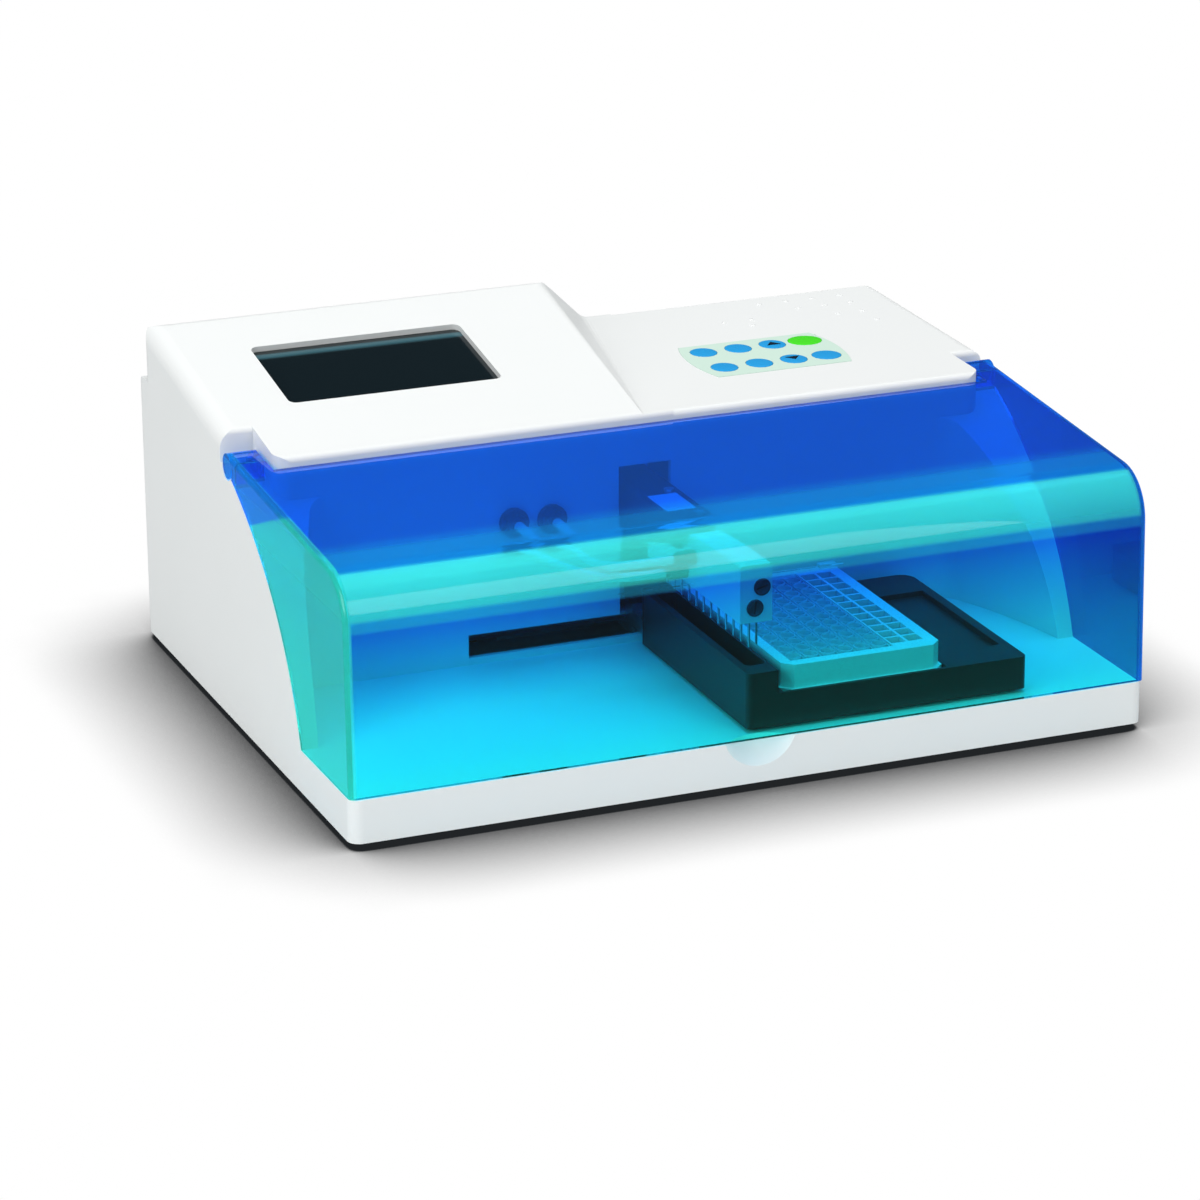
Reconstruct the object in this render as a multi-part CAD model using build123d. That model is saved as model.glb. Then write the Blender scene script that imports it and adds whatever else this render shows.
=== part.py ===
from build123d import *
from math import cos, pi, radians, sin, sqrt, tan
import os

# A bench microplate washer: a white moulded housing with a hinged clear splash cover, a plate
# carrier that slides sideways under a wash head, and a head that dips its needles into the wells.
# Millimetres. X runs to the right, Y from the front to the rear, Z up from the bench.
# While it is built Y is counted from the plinth's front face. At the end the whole washer is
# moved so that its origin lies under the middle of its box.

# Facets of round pieces that are small or inside, where a true cylinder would weigh too much
round_sides = 16
small_sides = 8
needle_sides = 6
oval_sides = 16
tube_sides = 10
port_sides = 12

# Housing
width = 409.0
foot_height = 4.0
plinth_height = 21.4
wall = 3.0
back_wall_y = 149.0
rear_foot_y = 326.4
rear_step_y = 322.0
rear_step_z = 136.6
step_height = 5.4
rear_upper_y = 314.0
rear_upper_lean = 0.10
deck_front_z = 143.3
deck_rear_z = 146.2
console_rear_z = 172.5
console_front_relief = 0.3
front_edge_radius = 3.0
console_rear_radius = 9.0
deck_rear_radius = 2.5
step_radius = 1.5
plinth_corner_radius = 6.0
rear_corner_radius = 12.0

# Raised display console on the left of the top
console_side_radius = 9.0
shoulder_front_x = 2.2
shoulder_rear_x = 9.7
shoulder_round_share = 0.30
console_loft_rear_y = 330.0
top_start_y = 100.0
top_run = 280.0
top_reach = 250.0
console_skirt_width = 16.0
console_split_x = -30.0
shoulder_half_angle = 22.5
shoulder_runs = 3
deck_side_radius = 6.0
deck_under_console = 20.0

# Curved cheeks that the cover closes against, and the wash chamber between them
cheek_foot_y = 71.0
cheek_foot_angle = 73.0
cheek_middle = (115.0, 95.0)
notch_lip = (178.0, 134.5)
notch_rear_y = 184.0
notch_width = 17.0
notch_floor_overrun = 20.0
tongue_corner_radius = 8.0
cheek_width = 11.0
chamber_bow_x = 184.5
chamber_bow_y = 112.0
chamber_rear_half_width = 170.5
chamber_corner_radius = 12.0
front_overrun = 20.0

# Splash cover and its hinge
cover_wall = 3.0
cover_front_foot_y = 0.3
cover_front_top_y = 2.95
cover_front_top_z = 129.4
cover_rear_z = 142.1
cover_bend_radius = 25.0
cover_edge_radius = 3.0
cover_gap = 0.8
cover_rest_gap = 0.3
cover_rear_edge_y = 147.0
hinge_y = 173.5
hinge_z = 135.3
ear_radius = 6.3
ear_width = 15.0
ear_web = 2.0
ear_front_web_y = 161.5
seat_radius = 7.1
hinge_pin_radius = 1.5
hinge_pin_depth = 5.0
hinge_pin_overhang = 3.0
running_clearance = 0.06
fixed_clearance = 0.02

# Finger scoop under the middle of the cover's lower edge
scoop_width = 36.0
scoop_height = 13.0
scoop_radius = 22.0

# Openings in the rear wall of the wash chamber
carrier_slot_end_gap = 5.6
carrier_slot_right = 60.7
carrier_slot_bottom = 29.0
carrier_slot_top = 41.0
head_slot_left = -10.9
head_slot_right = 16.9
head_slot_top = 116.0

# Base plate, feet and screws
sheet = 2.0
plate_margin = 0.4
foot_radius = 7.0
foot_x = 172.0
foot_front_y = 34.0
foot_rear_y = 292.0
boss_radius = 4.0
boss_x = 190.0
boss_front_y = 14.0
boss_middle_y = 176.0
boss_rear_y = 305.0
screw_radius = 1.5
screw_head_radius = 3.0
screw_head_height = 1.6
screw_length = 10.0
screw_hole_play = 0.2
boss_bore_depth = 12.0

# Rear panel and what is mounted on it
panel_left = -182.0
panel_right = 186.0
panel_bottom = 24.0
panel_top = 116.0
panel_lap = 9.0
panel_sheet = 1.5
panel_corner_radius = 4.0
panel_screw_inset = 4.5
vent_count = 9
vent_pitch = 8.0
vent_width = 3.0
vent_height = 34.0
vent_centre_x = -20.0
vent_centre_z = 74.0
inlet_centre_x = 128.0
inlet_centre_z = 66.0
inlet_flange_width = 70.0
inlet_flange_height = 31.0
inlet_flange_thickness = 2.5
inlet_corner_radius = 2.0
inlet_body_width = 60.0
inlet_body_height = 27.0
inlet_body_depth = 24.0
socket_offset_x = 13.0
socket_width = 25.0
socket_height = 18.0
socket_depth = 17.0
socket_corner = 4.0
prong_width = 2.0
prong_thickness = 4.0
prong_length = 11.0
prong_pitch = 7.0
prong_rise = 2.5
rocker_offset_x = -19.0
rocker_width = 13.0
rocker_height = 19.5
rocker_depth = 7.5
rocker_proud = 3.2
rocker_well_depth = 12.0
rocker_clearance = 0.6
port_xs = (-155.0, -128.0, -101.0)
port_z = 66.0
port_flange_radius = 8.0
port_flange_height = 3.0
port_body_radius = 4.5
port_barb_radius = 4.0
port_barb_length = 12.0
port_inner_length = 14.0
port_bore_radius = 2.0
port_barb_count = 2
port_taper = 8.0

# Display
display_left = -161.6
display_right = -50.3
display_front_y = 204.0
display_rear_y = 268.0
display_corner_radius = 4.0
window_lap = 3.0
window_thickness = 2.0
display_frame_margin = 2.0
display_frame_depth = 7.0
display_board_lap = 4.0
display_board_thickness = 1.6

# Keypad
overlay_left = 56.7
overlay_right = 139.2
overlay_front_y = 191.0
overlay_rear_y = 244.0
overlay_bulge = 4.5
overlay_thickness = 0.8
overlay_proud = 0.2
overlay_edge_gap = 0.1
key_front_row_y = 205.0
key_rear_row_y = 232.0
key_column_xs = (70.2, 89.5, 108.7)
last_key_x = 127.0
key_half_width = 6.9
key_half_length = 7.4
last_key_half_width = 7.6
start_key_half_width = 9.0
start_key_half_length = 8.0
key_gap = 0.25
key_proud = 0.7
key_travel = 0.5
key_travel_margin = 0.1
key_body_drop = 4.4
keypad_window_left = 62.6
keypad_window_right = 136.8
keypad_window_front_y = 196.8
keypad_window_rear_y = 240.8
dome_height = 0.5
dome_radius = 4.0
board_thickness = 1.6
board_margin = 2.0
board_post_radius = 2.5

# Microplate, to the standard footprint and well pitch
microplate_left = 16.75
microplate_front_y = 12.14
microplate_width = 85.48
microplate_length = 127.76
microplate_height = 14.35
microplate_corner_radius = 3.2
microplate_flange = 2.5
microplate_inset = 1.3
microplate_wall = 1.5
microplate_deck = 6.0
microplate_chamfer = 5.0
well_pitch = 9.0
first_column_offset = 11.24
first_row_offset = 14.38
column_count = 8
row_count = 12
strip_count = 6
cell_size = 7.7
strip_play = 0.15
strip_tab = 2.4
strip_tab_thickness = 1.5
strip_bar_width = 8.2
strip_depth = 12.4
well_radius = 3.4
well_depth = 10.9
lug_length = 4.0
lug_width = 9.0
lug_height = 1.8

# Plate carrier
carrier_left = -2.7
carrier_width = 147.5
carrier_front_y = 10.1
carrier_rear_y = 142.0
carrier_bottom_z = 27.4
carrier_deck_z = 43.9
nest_gap = 0.3
nest_floor_z = 41.2
finger_bay_right = 139.8
finger_bay_front_y = 30.0
finger_bay_rear_y = 115.5
rinse_bar_width = 15.9
rinse_bar_top_z = 55.4
trough_left = 1.2
trough_right = 11.7
trough_front_y = 21.0
trough_rear_y = 131.5
trough_floor_z = 44.0
carrier_corner_radius = 8.0
carrier_edge_radius = 3.0
underside_rim = 4.0
underside_floor = 4.0
underside_rear_y = 116.0

# Carrier drive behind the chamber wall
carrier_travel = 84.0
arm_left = -1.7
arm_right = 56.3
arm_root_y = 122.0
arm_bottom_z = 31.0
arm_top_z = 39.0
arm_flange_front_y = 155.0
arm_flange_thickness = 3.0
rail_z = 35.0
rail_front_y = 168.0
rail_rear_y = 190.0
rail_radius = 4.0
slide_rear_y = 202.0
slide_bottom_z = 27.0
slide_top_z = 43.0
end_block_width = 12.0
left_block_x = -112.0
right_block_x = 68.0
end_block_front_y = 160.0
end_block_rear_y = 198.0
belt_y = 205.0
belt_pitch_radius = 8.0
belt_thickness = 1.4
belt_bottom_z = 49.0
belt_width = 6.0
belt_gap = 0.3
drive_motor_x = -140.0
idler_x = 100.0
pulley_flange_radius = 10.0
pulley_flange_thickness = 1.0
pulley_side_gap = 0.5
shaft_radius = 2.5
shaft_bore_depth = 8.0
motor_size = 42.3
motor_chamfer = 4.5
motor_height = 38.0
motor_boss_radius = 11.0
motor_boss_height = 2.0
pancake_height = 26.0
clamp_left = 17.0
clamp_right = 37.0
clamp_front_y = 190.0
clamp_head = 2.0
idler_bracket_width = 24.0
idler_bracket_top_z = 44.0
flag_length = 14.0
flag_thickness = 1.5
flag_height = 6.0
sensor_gap = 4.0
sensor_prong = 3.0
sensor_base = 2.0
sensor_height = 6.5
sensor_length = 8.0

# Wash head
head_left = -1.3
head_right = 15.2
head_front_y = 22.5
head_rear_y = 137.0
head_bottom_z = 76.2
head_top_z = 104.6
head_edge_radius = 0.8
needle_count = 12
needle_first_y = 26.52
needle_row_spacing = 3.8
needle_radius = 0.6
needle_tip_z = 62.7
aspirate_extra = 0.8
plug_radius = 4.25
plug_upper = (9.9, 93.6)
plug_lower = (6.3, 83.5)
plug_proud = 0.4
plug_depth = 6.0
plug_slot_width = 1.0
plug_slot_depth = 0.6
channel_radius = 2.5
channel_end_margin = 6.0
head_travel = 16.7
barb_upper = (78.0, 92.9)
barb_lower = (88.0, 82.4)
barb_collar_radius = 4.0
barb_collar_length = 9.0
barb_nose_length = 2.2

# Head arm and lift behind the chamber wall
head_arm_left = -7.0
head_arm_right = 12.7
head_arm_front_y = 85.0
head_arm_rear_y = 233.4
head_arm_sheet = 2.6
head_arm_side_sheet = 2.5
head_arm_tip_depth = 11.0
head_arm_root_depth = 20.0
head_arm_notch_y = 93.0
head_arm_notch_width = 4.0
head_arm_notch_depth = 5.0
lift_x = -20.0
lift_y = 237.0
lift_block_left = -44.0
lift_block_half_depth = 13.0
lift_block_bottom_z = 82.0
lift_rod_spacing = 36.0
lift_rod_radius = 3.0
lift_screw_radius = 4.0
lift_screw_bore_depth = 6.0
nut_flange_radius = 9.0
nut_flange_thickness = 4.0
nut_body_radius = 6.0
lift_frame_half_width = 27.0
lift_frame_sheet = 3.0
lift_frame_rear_y = 265.0
lift_shelf_front_y = 222.0
lift_end_margin = 10.3
lift_top_front_y = 214.0
lift_top_z = 115.0
lift_foot_front_y = 228.0
arm_screw_radius = 1.5
arm_screw_head_radius = 2.7
arm_screw_head_height = 1.6
arm_screw_length = 8.0
arm_screw_front_y = 90.0
arm_screw_middle_y = 128.0
arm_screw_x = 6.95
arm_screw_rear_x = 9.2

# Tube fittings on the chamber wall, and the two tubes to the head
waste_fitting_x = -66.8
waste_fitting_z = 94.6
wash_fitting_x = -46.8
wash_fitting_z = 93.9
fitting_radius = 7.5
fitting_collar = 3.0
fitting_nut_radius = 5.6
fitting_body_radius = 4.0
fitting_tail = 15.0
fitting_lock_nut = 4.0
tube_radius = 2.5
arc_share = 0.45
waste_tube_points = (
    (-66.8, 141.0, 94.6),
    (-66.8, 123.0, 94.6),
    (-64.0, 103.0, 91.0),
    (-49.0, 89.5, 84.5),
    (-30.0, 88.0, 82.4),
    (-12.5, 88.0, 82.4),
)
wash_tube_points = (
    (-46.8, 141.0, 93.9),
    (-46.8, 122.0, 93.9),
    (-46.6, 103.0, 89.4),
    (-41.0, 88.0, 90.0),
    (-28.5, 78.0, 92.9),
    (-12.5, 78.0, 92.9),
)

# Boards, power supply and pumps on the base plate
main_board_left = -112.0
main_board_width = 58.0
main_board_front_y = 226.0
main_board_length = 78.0
standoff_height = 8.0
standoff_radius = 2.5
chip_size = 14.0
chip_height = 2.0
socket_strip_height = 9.0
socket_strip_width = 7.0
socket_strip_inset = 10.0
supply_left = 62.0
supply_width = 98.0
supply_front_y = 226.0
supply_length = 56.0
supply_height = 38.0
supply_slot_count = 8
supply_slot_width = 3.0
supply_slot_depth = 1.2
supply_slot_margin = 10.0
wash_pump_left = -188.0
wash_pump_y = 250.0
vacuum_pump_left = 116.0
vacuum_pump_y = 186.0
pump_motor_radius = 13.5
pump_motor_length = 38.0
pump_head_width = 22.0
pump_head_size = 31.0
pump_foot_thickness = 2.0
pump_port_radius = 2.5
pump_port_length = 8.0
valve_x = -160.0
valve_y = 284.0
valve_block = 20.0
valve_coil_radius = 9.0
valve_coil_height = 24.0

# Values worked out from the sizes above
carrier_slot_left = arm_left - carrier_travel - carrier_slot_end_gap
lift_shelf_z = lift_block_bottom_z - nut_flange_thickness - head_travel - lift_end_margin
half_width = width / 2
floor_z = foot_height + plinth_height
chamber_half_width = half_width - cheek_width
plate_top_z = foot_height + sheet
console_front_z = deck_front_z + console_front_relief
console_slope = (console_rear_z - console_front_z) / (rear_upper_y - back_wall_y)
deck_slope = (deck_rear_z - deck_front_z) / (rear_upper_y - back_wall_y)
rear_lean = (rear_foot_y - rear_step_y) / (rear_step_z - foot_height)
top_limit = console_rear_z + 2 * console_rear_radius
needle_centre_x = (head_left + head_right) / 2
microplate_right = microplate_left + microplate_width
microplate_rear_y = microplate_front_y + microplate_length
microplate_top_z = nest_floor_z + microplate_height
carrier_right = carrier_left + carrier_width
head_arm_top_z = head_top_z + head_arm_sheet
belt_top_z = belt_bottom_z + belt_width
chamber_wall_inner_y = back_wall_y + wall


def box(x_from, x_to, y_from, y_to, z_from, z_to):
    """A block between two corners."""
    size = (x_to - x_from, y_to - y_from, z_to - z_from)
    return Pos(x_from, y_from, z_from) * Box(*size, align=(Align.MIN, Align.MIN, Align.MIN))


def round_bar(start, end, radius):
    """A round bar between two points."""
    direction = Vector(*end) - Vector(*start)
    return extrude(Plane(origin=start, z_dir=direction) * Circle(radius), direction.length)


def bar(start, end, radius, sides=round_sides):
    """A round bar between two points, made of flat facets."""
    direction = Vector(*end) - Vector(*start)
    return extrude(Plane(origin=start, z_dir=direction) * RegularPolygon(radius, sides), direction.length)


def small_bar(start, end, radius):
    """A screw, boss, hole or post with few facets."""
    return bar(start, end, radius, small_sides)


def along_width(sketch, x_from, x_to):
    """A side view sketch, drawn as (y, z), carried across the washer."""
    return extrude(Plane.YZ.offset(x_from) * sketch, x_to - x_from)


def upward(sketch, z_from, z_to):
    """A plan sketch, drawn as (x, y), raised from one height to another."""
    return extrude(Plane.XY.offset(z_from) * sketch, z_to - z_from)


def closed_outline(points, radii):
    """A closed flat outline with one rounding for each of its points."""
    return make_face(FilletPolyline(*points, radius=radii, close=True))


def group(pieces):
    """Separate solids that share one node."""
    return Compound(children=list(pieces))


# Housing outlines

def console_z(y):
    """Height of the sloping console top."""
    return console_front_z + console_slope * (y - back_wall_y)


def deck_z(y):
    """Height of the keypad deck."""
    return deck_front_z + deck_slope * (y - back_wall_y)


def rear_y(z):
    """Place of the leaning rear wall below the step."""
    return rear_foot_y - rear_lean * (z - foot_height)


def upper_outline(front_y, top_z, inset):
    """Side view of the tall rear part, whose top height is given as a function of y."""
    step_top = rear_step_z + step_height
    low_step_z = rear_step_z - inset / 2
    draw_in = inset * sqrt(1 + rear_lean * rear_lean)
    rear_top_y = rear_upper_y - rear_upper_lean * (top_z(rear_upper_y) - step_top)
    front = front_y + inset
    points = (
        (front, foot_height),
        (front, top_z(front) - inset),
        (rear_top_y - inset, top_z(rear_top_y) - inset),
        (rear_upper_y - inset, step_top - inset / 2),
        (rear_y(low_step_z) - draw_in, low_step_z),
        (rear_foot_y - draw_in, foot_height),
    )
    if inset:
        return make_face(Polyline(*points, close=True))
    rear_radius = console_rear_radius if top_z is console_z else deck_rear_radius
    radii = [0, front_edge_radius, rear_radius, step_radius, step_radius, 0]
    return closed_outline(points, radii)


def cheek_outline(inset):
    """Side view of the plinth and of the curved cheeks that stand on it."""
    first = TangentArc(
        (cheek_foot_y, floor_z),
        cheek_middle,
        tangent=(cos(radians(cheek_foot_angle)), sin(radians(cheek_foot_angle))),
    )
    second = TangentArc(cheek_middle, notch_lip, tangent=first % 1)
    rest = Polyline(
        notch_lip,
        (notch_rear_y + notch_floor_overrun, notch_lip[1]),
        (notch_rear_y + notch_floor_overrun, foot_height),
        (0, foot_height),
        (0, floor_z),
        (cheek_foot_y, floor_z),
    )
    face = make_face(first + second + rest)
    if inset:
        face = offset(face, -inset, kind=Kind.INTERSECTION)
    return face - Pos(hinge_y, hinge_z) * Circle(seat_radius + inset)


def plan_outline(y_to, inset):
    """Plan of the housing with its rounded corners."""
    side = half_width - inset
    front = plinth_corner_radius - inset
    rear = rear_corner_radius - inset
    points = ((-side, inset), (side, inset), (side, y_to - inset), (-side, y_to - inset))
    return closed_outline(points, [front, front, rear, rear])


def tongue_plan(inset):
    """Plan of the part of the top that runs forward between the two hinge notches."""
    side = half_width - notch_width - inset
    front = tongue_corner_radius - inset
    points = (
        (-side, back_wall_y + inset),
        (side, back_wall_y + inset),
        (side, rear_upper_y),
        (-side, rear_upper_y),
    )
    return closed_outline(points, [front, front, front, front])


def chamber_plan():
    """Plan of the wash chamber, whose side walls draw in towards the rear."""
    right = ThreePointArc(
        (chamber_half_width, cheek_foot_y),
        (chamber_bow_x, chamber_bow_y),
        (chamber_rear_half_width, back_wall_y),
    )
    left = ThreePointArc(
        (-chamber_rear_half_width, back_wall_y),
        (-chamber_bow_x, chamber_bow_y),
        (-chamber_half_width, cheek_foot_y),
    )
    rear = Line((chamber_rear_half_width, back_wall_y), (-chamber_rear_half_width, back_wall_y))
    front = Polyline(
        (-chamber_half_width, cheek_foot_y),
        (-chamber_half_width, -front_overrun),
        (chamber_half_width, -front_overrun),
        (chamber_half_width, cheek_foot_y),
    )
    face = make_face(right + rear + left + front)
    corners = face.vertices().filter_by(lambda v: abs(v.Y - back_wall_y) < wall)
    return fillet(corners, chamber_corner_radius)


def sloping_prism(points, radii, top_z, slope):
    """A cross section, drawn downward from a sloping top surface, carried along that surface."""
    start = (0, top_start_y, top_z(top_start_y))
    plane = Plane(origin=start, x_dir=(1, 0, 0), z_dir=(0, -1, -slope))
    return extrude(plane * closed_outline(points, radii), -top_run)


def console_left_form(inset):
    """The console's left part, with its rounded edge."""
    left = -half_width + inset
    right = console_split_x
    drop = inset / sqrt(1 + console_slope * console_slope)
    cut = console_side_radius - inset
    low = -top_reach
    if inset:
        points = ((left, low), (left, -drop - cut), (left + cut, -drop), (right, -drop), (right, low))
        return sloping_prism(points, [0, 0, 0, 0, 0], console_z, console_slope)
    points = ((left, low), (left, 0), (right, 0), (right, low))
    return sloping_prism(points, [0, cut, 0, 0], console_z, console_slope)


def short_runs(x, z, radius, turn, side):
    """Short straight runs round a corner of the flank, which lies on the given side of them."""
    reach = radius * tan(radians(shoulder_half_angle))
    middle_x = x + side * reach
    middle_z = z + side * radius
    step = 2 * shoulder_half_angle / shoulder_runs
    angles = [radians(turn - i * step) for i in range(shoulder_runs + 1)]
    return tuple((middle_x + radius * cos(a), middle_z + radius * sin(a)) for a in angles)


def console_flank_section(y, inset):
    """Cross section of the console's right part: flat top and a sloping flank down to the deck."""
    share = (y - back_wall_y) / (rear_upper_y - back_wall_y)
    shoulder_x = shoulder_front_x + share * (shoulder_rear_x - shoulder_front_x)
    relief = console_z(y) - deck_z(y)
    draw_in = inset * tan(radians(shoulder_half_angle))
    top = console_z(y) - inset
    low = deck_z(y) - inset
    rounding = 0 if inset else shoulder_round_share * relief
    skirt_x = shoulder_x + relief + console_skirt_width
    points = (
        (console_split_x, foot_height),
        (console_split_x, top),
        (shoulder_x - draw_in, top),
        (shoulder_x + relief - draw_in, low),
        (skirt_x, low),
        (skirt_x, foot_height),
    )
    if rounding:
        shoulder = short_runs(shoulder_x, top, rounding, 90, -1)
        foot = short_runs(shoulder_x + relief, low, rounding, 270, 1)
        points = points[:2] + shoulder + foot[::-1] + points[4:]
    return Plane.XZ.offset(-y) * make_face(Polyline(*points, close=True))


def console_form(inset):
    """The whole console, whose right flank grows from the front to the rear."""
    front = console_flank_section(back_wall_y, inset)
    rear = console_flank_section(console_loft_rear_y, inset)
    return console_left_form(inset) + loft([front, rear], ruled=True)


def deck_form(inset):
    """The whole keypad deck as a prism with a rounded right edge."""
    left = -half_width + deck_under_console
    side = half_width - inset
    drop = inset / sqrt(1 + deck_slope * deck_slope)
    cut = deck_side_radius - inset
    low = -top_reach
    if inset:
        points = ((left, low), (left, -drop), (side - cut, -drop), (side, -drop - cut), (side, low))
        return sloping_prism(points, [0, 0, 0, 0, 0], deck_z, deck_slope)
    points = ((left, low), (left, 0), (side, 0), (side, low))
    return sloping_prism(points, [0, 0, cut, 0], deck_z, deck_slope)


def side_view(front_y, top_z, inset):
    """Side view of the housing at one place across it, drawn in by the wall where asked."""
    return upper_outline(front_y, top_z, inset) + cheek_outline(inset)


def housing_form(inset):
    """Outer form of the housing, or the form of its inside when drawn in by the wall."""
    side = half_width - inset
    tongue_side = side - notch_width
    console_right = shoulder_rear_x + console_rear_z - deck_rear_z + console_skirt_width
    deck_left = -half_width + deck_under_console
    console = console_form(inset)
    strips = along_width(side_view(notch_rear_y, console_z, inset), -side, console_right)
    middle = along_width(side_view(back_wall_y, console_z, inset), -tongue_side, console_right)
    tongue = upward(tongue_plan(inset), foot_height, top_limit)
    console_part = (strips + (middle & tongue)) & console
    deck_strips = along_width(side_view(notch_rear_y, deck_z, inset), deck_left, side)
    deck_middle = along_width(side_view(back_wall_y, deck_z, inset), deck_left, tongue_side)
    deck_part = (deck_strips + (deck_middle & tongue)) & deck_form(inset)
    plinth = along_width(cheek_outline(inset), -side, side)
    lower = upward(plan_outline(rear_foot_y, inset), 0, rear_step_z + step_height)
    upper = upward(plan_outline(rear_upper_y, inset), rear_step_z + step_height, top_limit)
    return (console_part + deck_part + plinth) & (lower + upper)


def local_plane(x, y, z, slope):
    """A plane that lies on a top surface which rises towards the rear by the given slope."""
    length = sqrt(1 + slope * slope)
    return Plane(origin=(x, y, z), x_dir=(1, 0, 0), z_dir=(0, -slope / length, 1 / length))


def rear_plane(x, z, depth):
    """A plane on the leaning rear wall, a given depth under its outer face, facing rearward."""
    length = sqrt(1 + rear_lean * rear_lean)
    normal = Vector(0, 1 / length, rear_lean / length)
    origin = Vector(x, rear_y(z), z) - normal * depth
    return Plane(origin=origin, x_dir=(-1, 0, 0), z_dir=normal)


display_x = (display_left + display_right) / 2
display_y = (display_front_y + display_rear_y) / 2
display_width = display_right - display_left
display_length = (display_rear_y - display_front_y) * sqrt(1 + console_slope * console_slope)
display_plane = local_plane(display_x, display_y, console_z(display_y), console_slope)
overlay_x = (overlay_left + overlay_right) / 2
overlay_y = (overlay_front_y + overlay_rear_y) / 2
overlay_plane = local_plane(overlay_x, overlay_y, deck_z(overlay_y), deck_slope)
panel_x = (panel_left + panel_right) / 2
panel_z = (panel_bottom + panel_top) / 2
panel_width = panel_right - panel_left
panel_height = panel_top - panel_bottom
panel_seat = rear_plane(panel_x, panel_z, wall)


def oval(half_x, half_y):
    """Outline of a key or of its window in short straight runs."""
    step = 2 * pi / oval_sides
    corners = [(half_x * cos(i * step), half_y * sin(i * step)) for i in range(oval_sides)]
    return make_face(Polyline(*corners, close=True))


def key_places():
    """Centre, half width and half length of each key, front row first."""
    places = []
    for x in key_column_xs:
        places.append((x, key_front_row_y, key_half_width, key_half_length))
    places.append((last_key_x, key_front_row_y, last_key_half_width, key_half_length))
    for x in key_column_xs:
        places.append((x, key_rear_row_y, key_half_width, key_half_length))
    places.append((last_key_x, key_rear_row_y, start_key_half_width, start_key_half_length))
    return places


def boss_places():
    """Screw bosses round the base plate, as (x, y)."""
    return [(sign * boss_x, y) for sign in (-1, 1) for y in (boss_front_y, boss_middle_y, boss_rear_y)]


def panel_screw_places():
    """Screws of the rear panel, in the panel's own plane."""
    across = panel_width / 2 - panel_screw_inset
    up = panel_height / 2 - panel_screw_inset
    return [(x, y) for x in (-across, 0, across) for y in (-up, up)]


# Housing and base

def finger_scoop(extra):
    """Ball that hollows the plinth's front edge, enlarged for the wall behind the hollow."""
    rim_radius = ((scoop_width / 2) ** 2 + scoop_height ** 2) / (2 * scoop_height)
    setback = sqrt(scoop_radius ** 2 - rim_radius ** 2)
    return Pos(0, -setback, floor_z - scoop_height + rim_radius) * Sphere(scoop_radius + extra)


def slots():
    """L-shaped opening in the chamber's rear wall for the carrier arm and the head arm."""
    near = back_wall_y - wall
    far = chamber_wall_inner_y + wall
    low = box(carrier_slot_left, carrier_slot_right, near, far, carrier_slot_bottom, carrier_slot_top)
    high = box(head_slot_left, head_slot_right, near, far, carrier_slot_bottom, head_slot_top)
    return low + high


def make_housing_shell():
    """White moulded housing: thin walls, wash chamber, hinge notches and screw bosses."""
    outer = housing_form(0)
    inside = housing_form(wall) + upward(plan_outline(rear_foot_y, wall), 0, 2 * foot_height)
    chamber = upward(chamber_plan(), floor_z, top_limit)
    chamber_skin = upward(offset(chamber_plan(), wall), floor_z - wall, top_limit)
    hollow = inside - chamber_skin - finger_scoop(wall)
    bosses = Part()
    bores = Part()
    for x, y in boss_places():
        bosses += small_bar((x, y, plate_top_z), (x, y, top_limit), boss_radius)
        bore_top = (x, y, plate_top_z + boss_bore_depth)
        bores += small_bar((x, y, plate_top_z), bore_top, screw_radius + fixed_clearance)
    shell = outer - chamber - hollow - finger_scoop(0)
    shell += (bosses & outer) - chamber
    shell -= bores
    shell -= slots()
    for x, z in ((waste_fitting_x, waste_fitting_z), (wash_fitting_x, wash_fitting_z)):
        reach = (x, chamber_wall_inner_y + wall, z)
        shell -= bar((x, back_wall_y - wall, z), reach, fitting_body_radius + fixed_clearance)
    for sign in (-1, 1):
        root = sign * (half_width - notch_width)
        bottom = (root - sign * hinge_pin_depth, hinge_y, hinge_z)
        shell -= round_bar((root, hinge_y, hinge_z), bottom, hinge_pin_radius + fixed_clearance)
    window = display_plane * RectangleRounded(display_width, display_length, display_corner_radius)
    shell -= extrude(window, wall, both=True)
    recess_depth = overlay_thickness - overlay_proud
    shell -= extrude(overlay_plane * overlay_sketch(overlay_edge_gap), -recess_depth)
    shell -= box(keypad_window_left, keypad_window_right, keypad_window_front_y, keypad_window_rear_y,
                 deck_front_z - 2 * wall, top_limit)
    opening = panel_seat * RectangleRounded(
        panel_width - 2 * panel_lap, panel_height - 2 * panel_lap, panel_corner_radius
    )
    shell -= extrude(opening, 2 * wall, both=True)
    for x, y in panel_screw_places():
        hole = panel_seat * Pos(x, y) * RegularPolygon(screw_radius + running_clearance, small_sides)
        shell -= extrude(hole, 2 * wall)
    return shell


def make_base_plate():
    """Steel sheet that closes the housing from below and carries what is inside."""
    hole = RegularPolygon(screw_radius + screw_hole_play, small_sides)
    holes = Sketch() + [Pos(x, y) * hole for x, y in boss_places()]
    return upward(plan_outline(rear_foot_y, wall + plate_margin) - holes, foot_height, plate_top_z)


def make_rubber_feet():
    """Four round rubber feet under the base plate."""
    feet = []
    for x in (-foot_x, foot_x):
        for y in (foot_front_y, foot_rear_y):
            feet.append(bar((x, y, 0), (x, y, foot_height), foot_radius))
    return group(feet)


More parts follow.
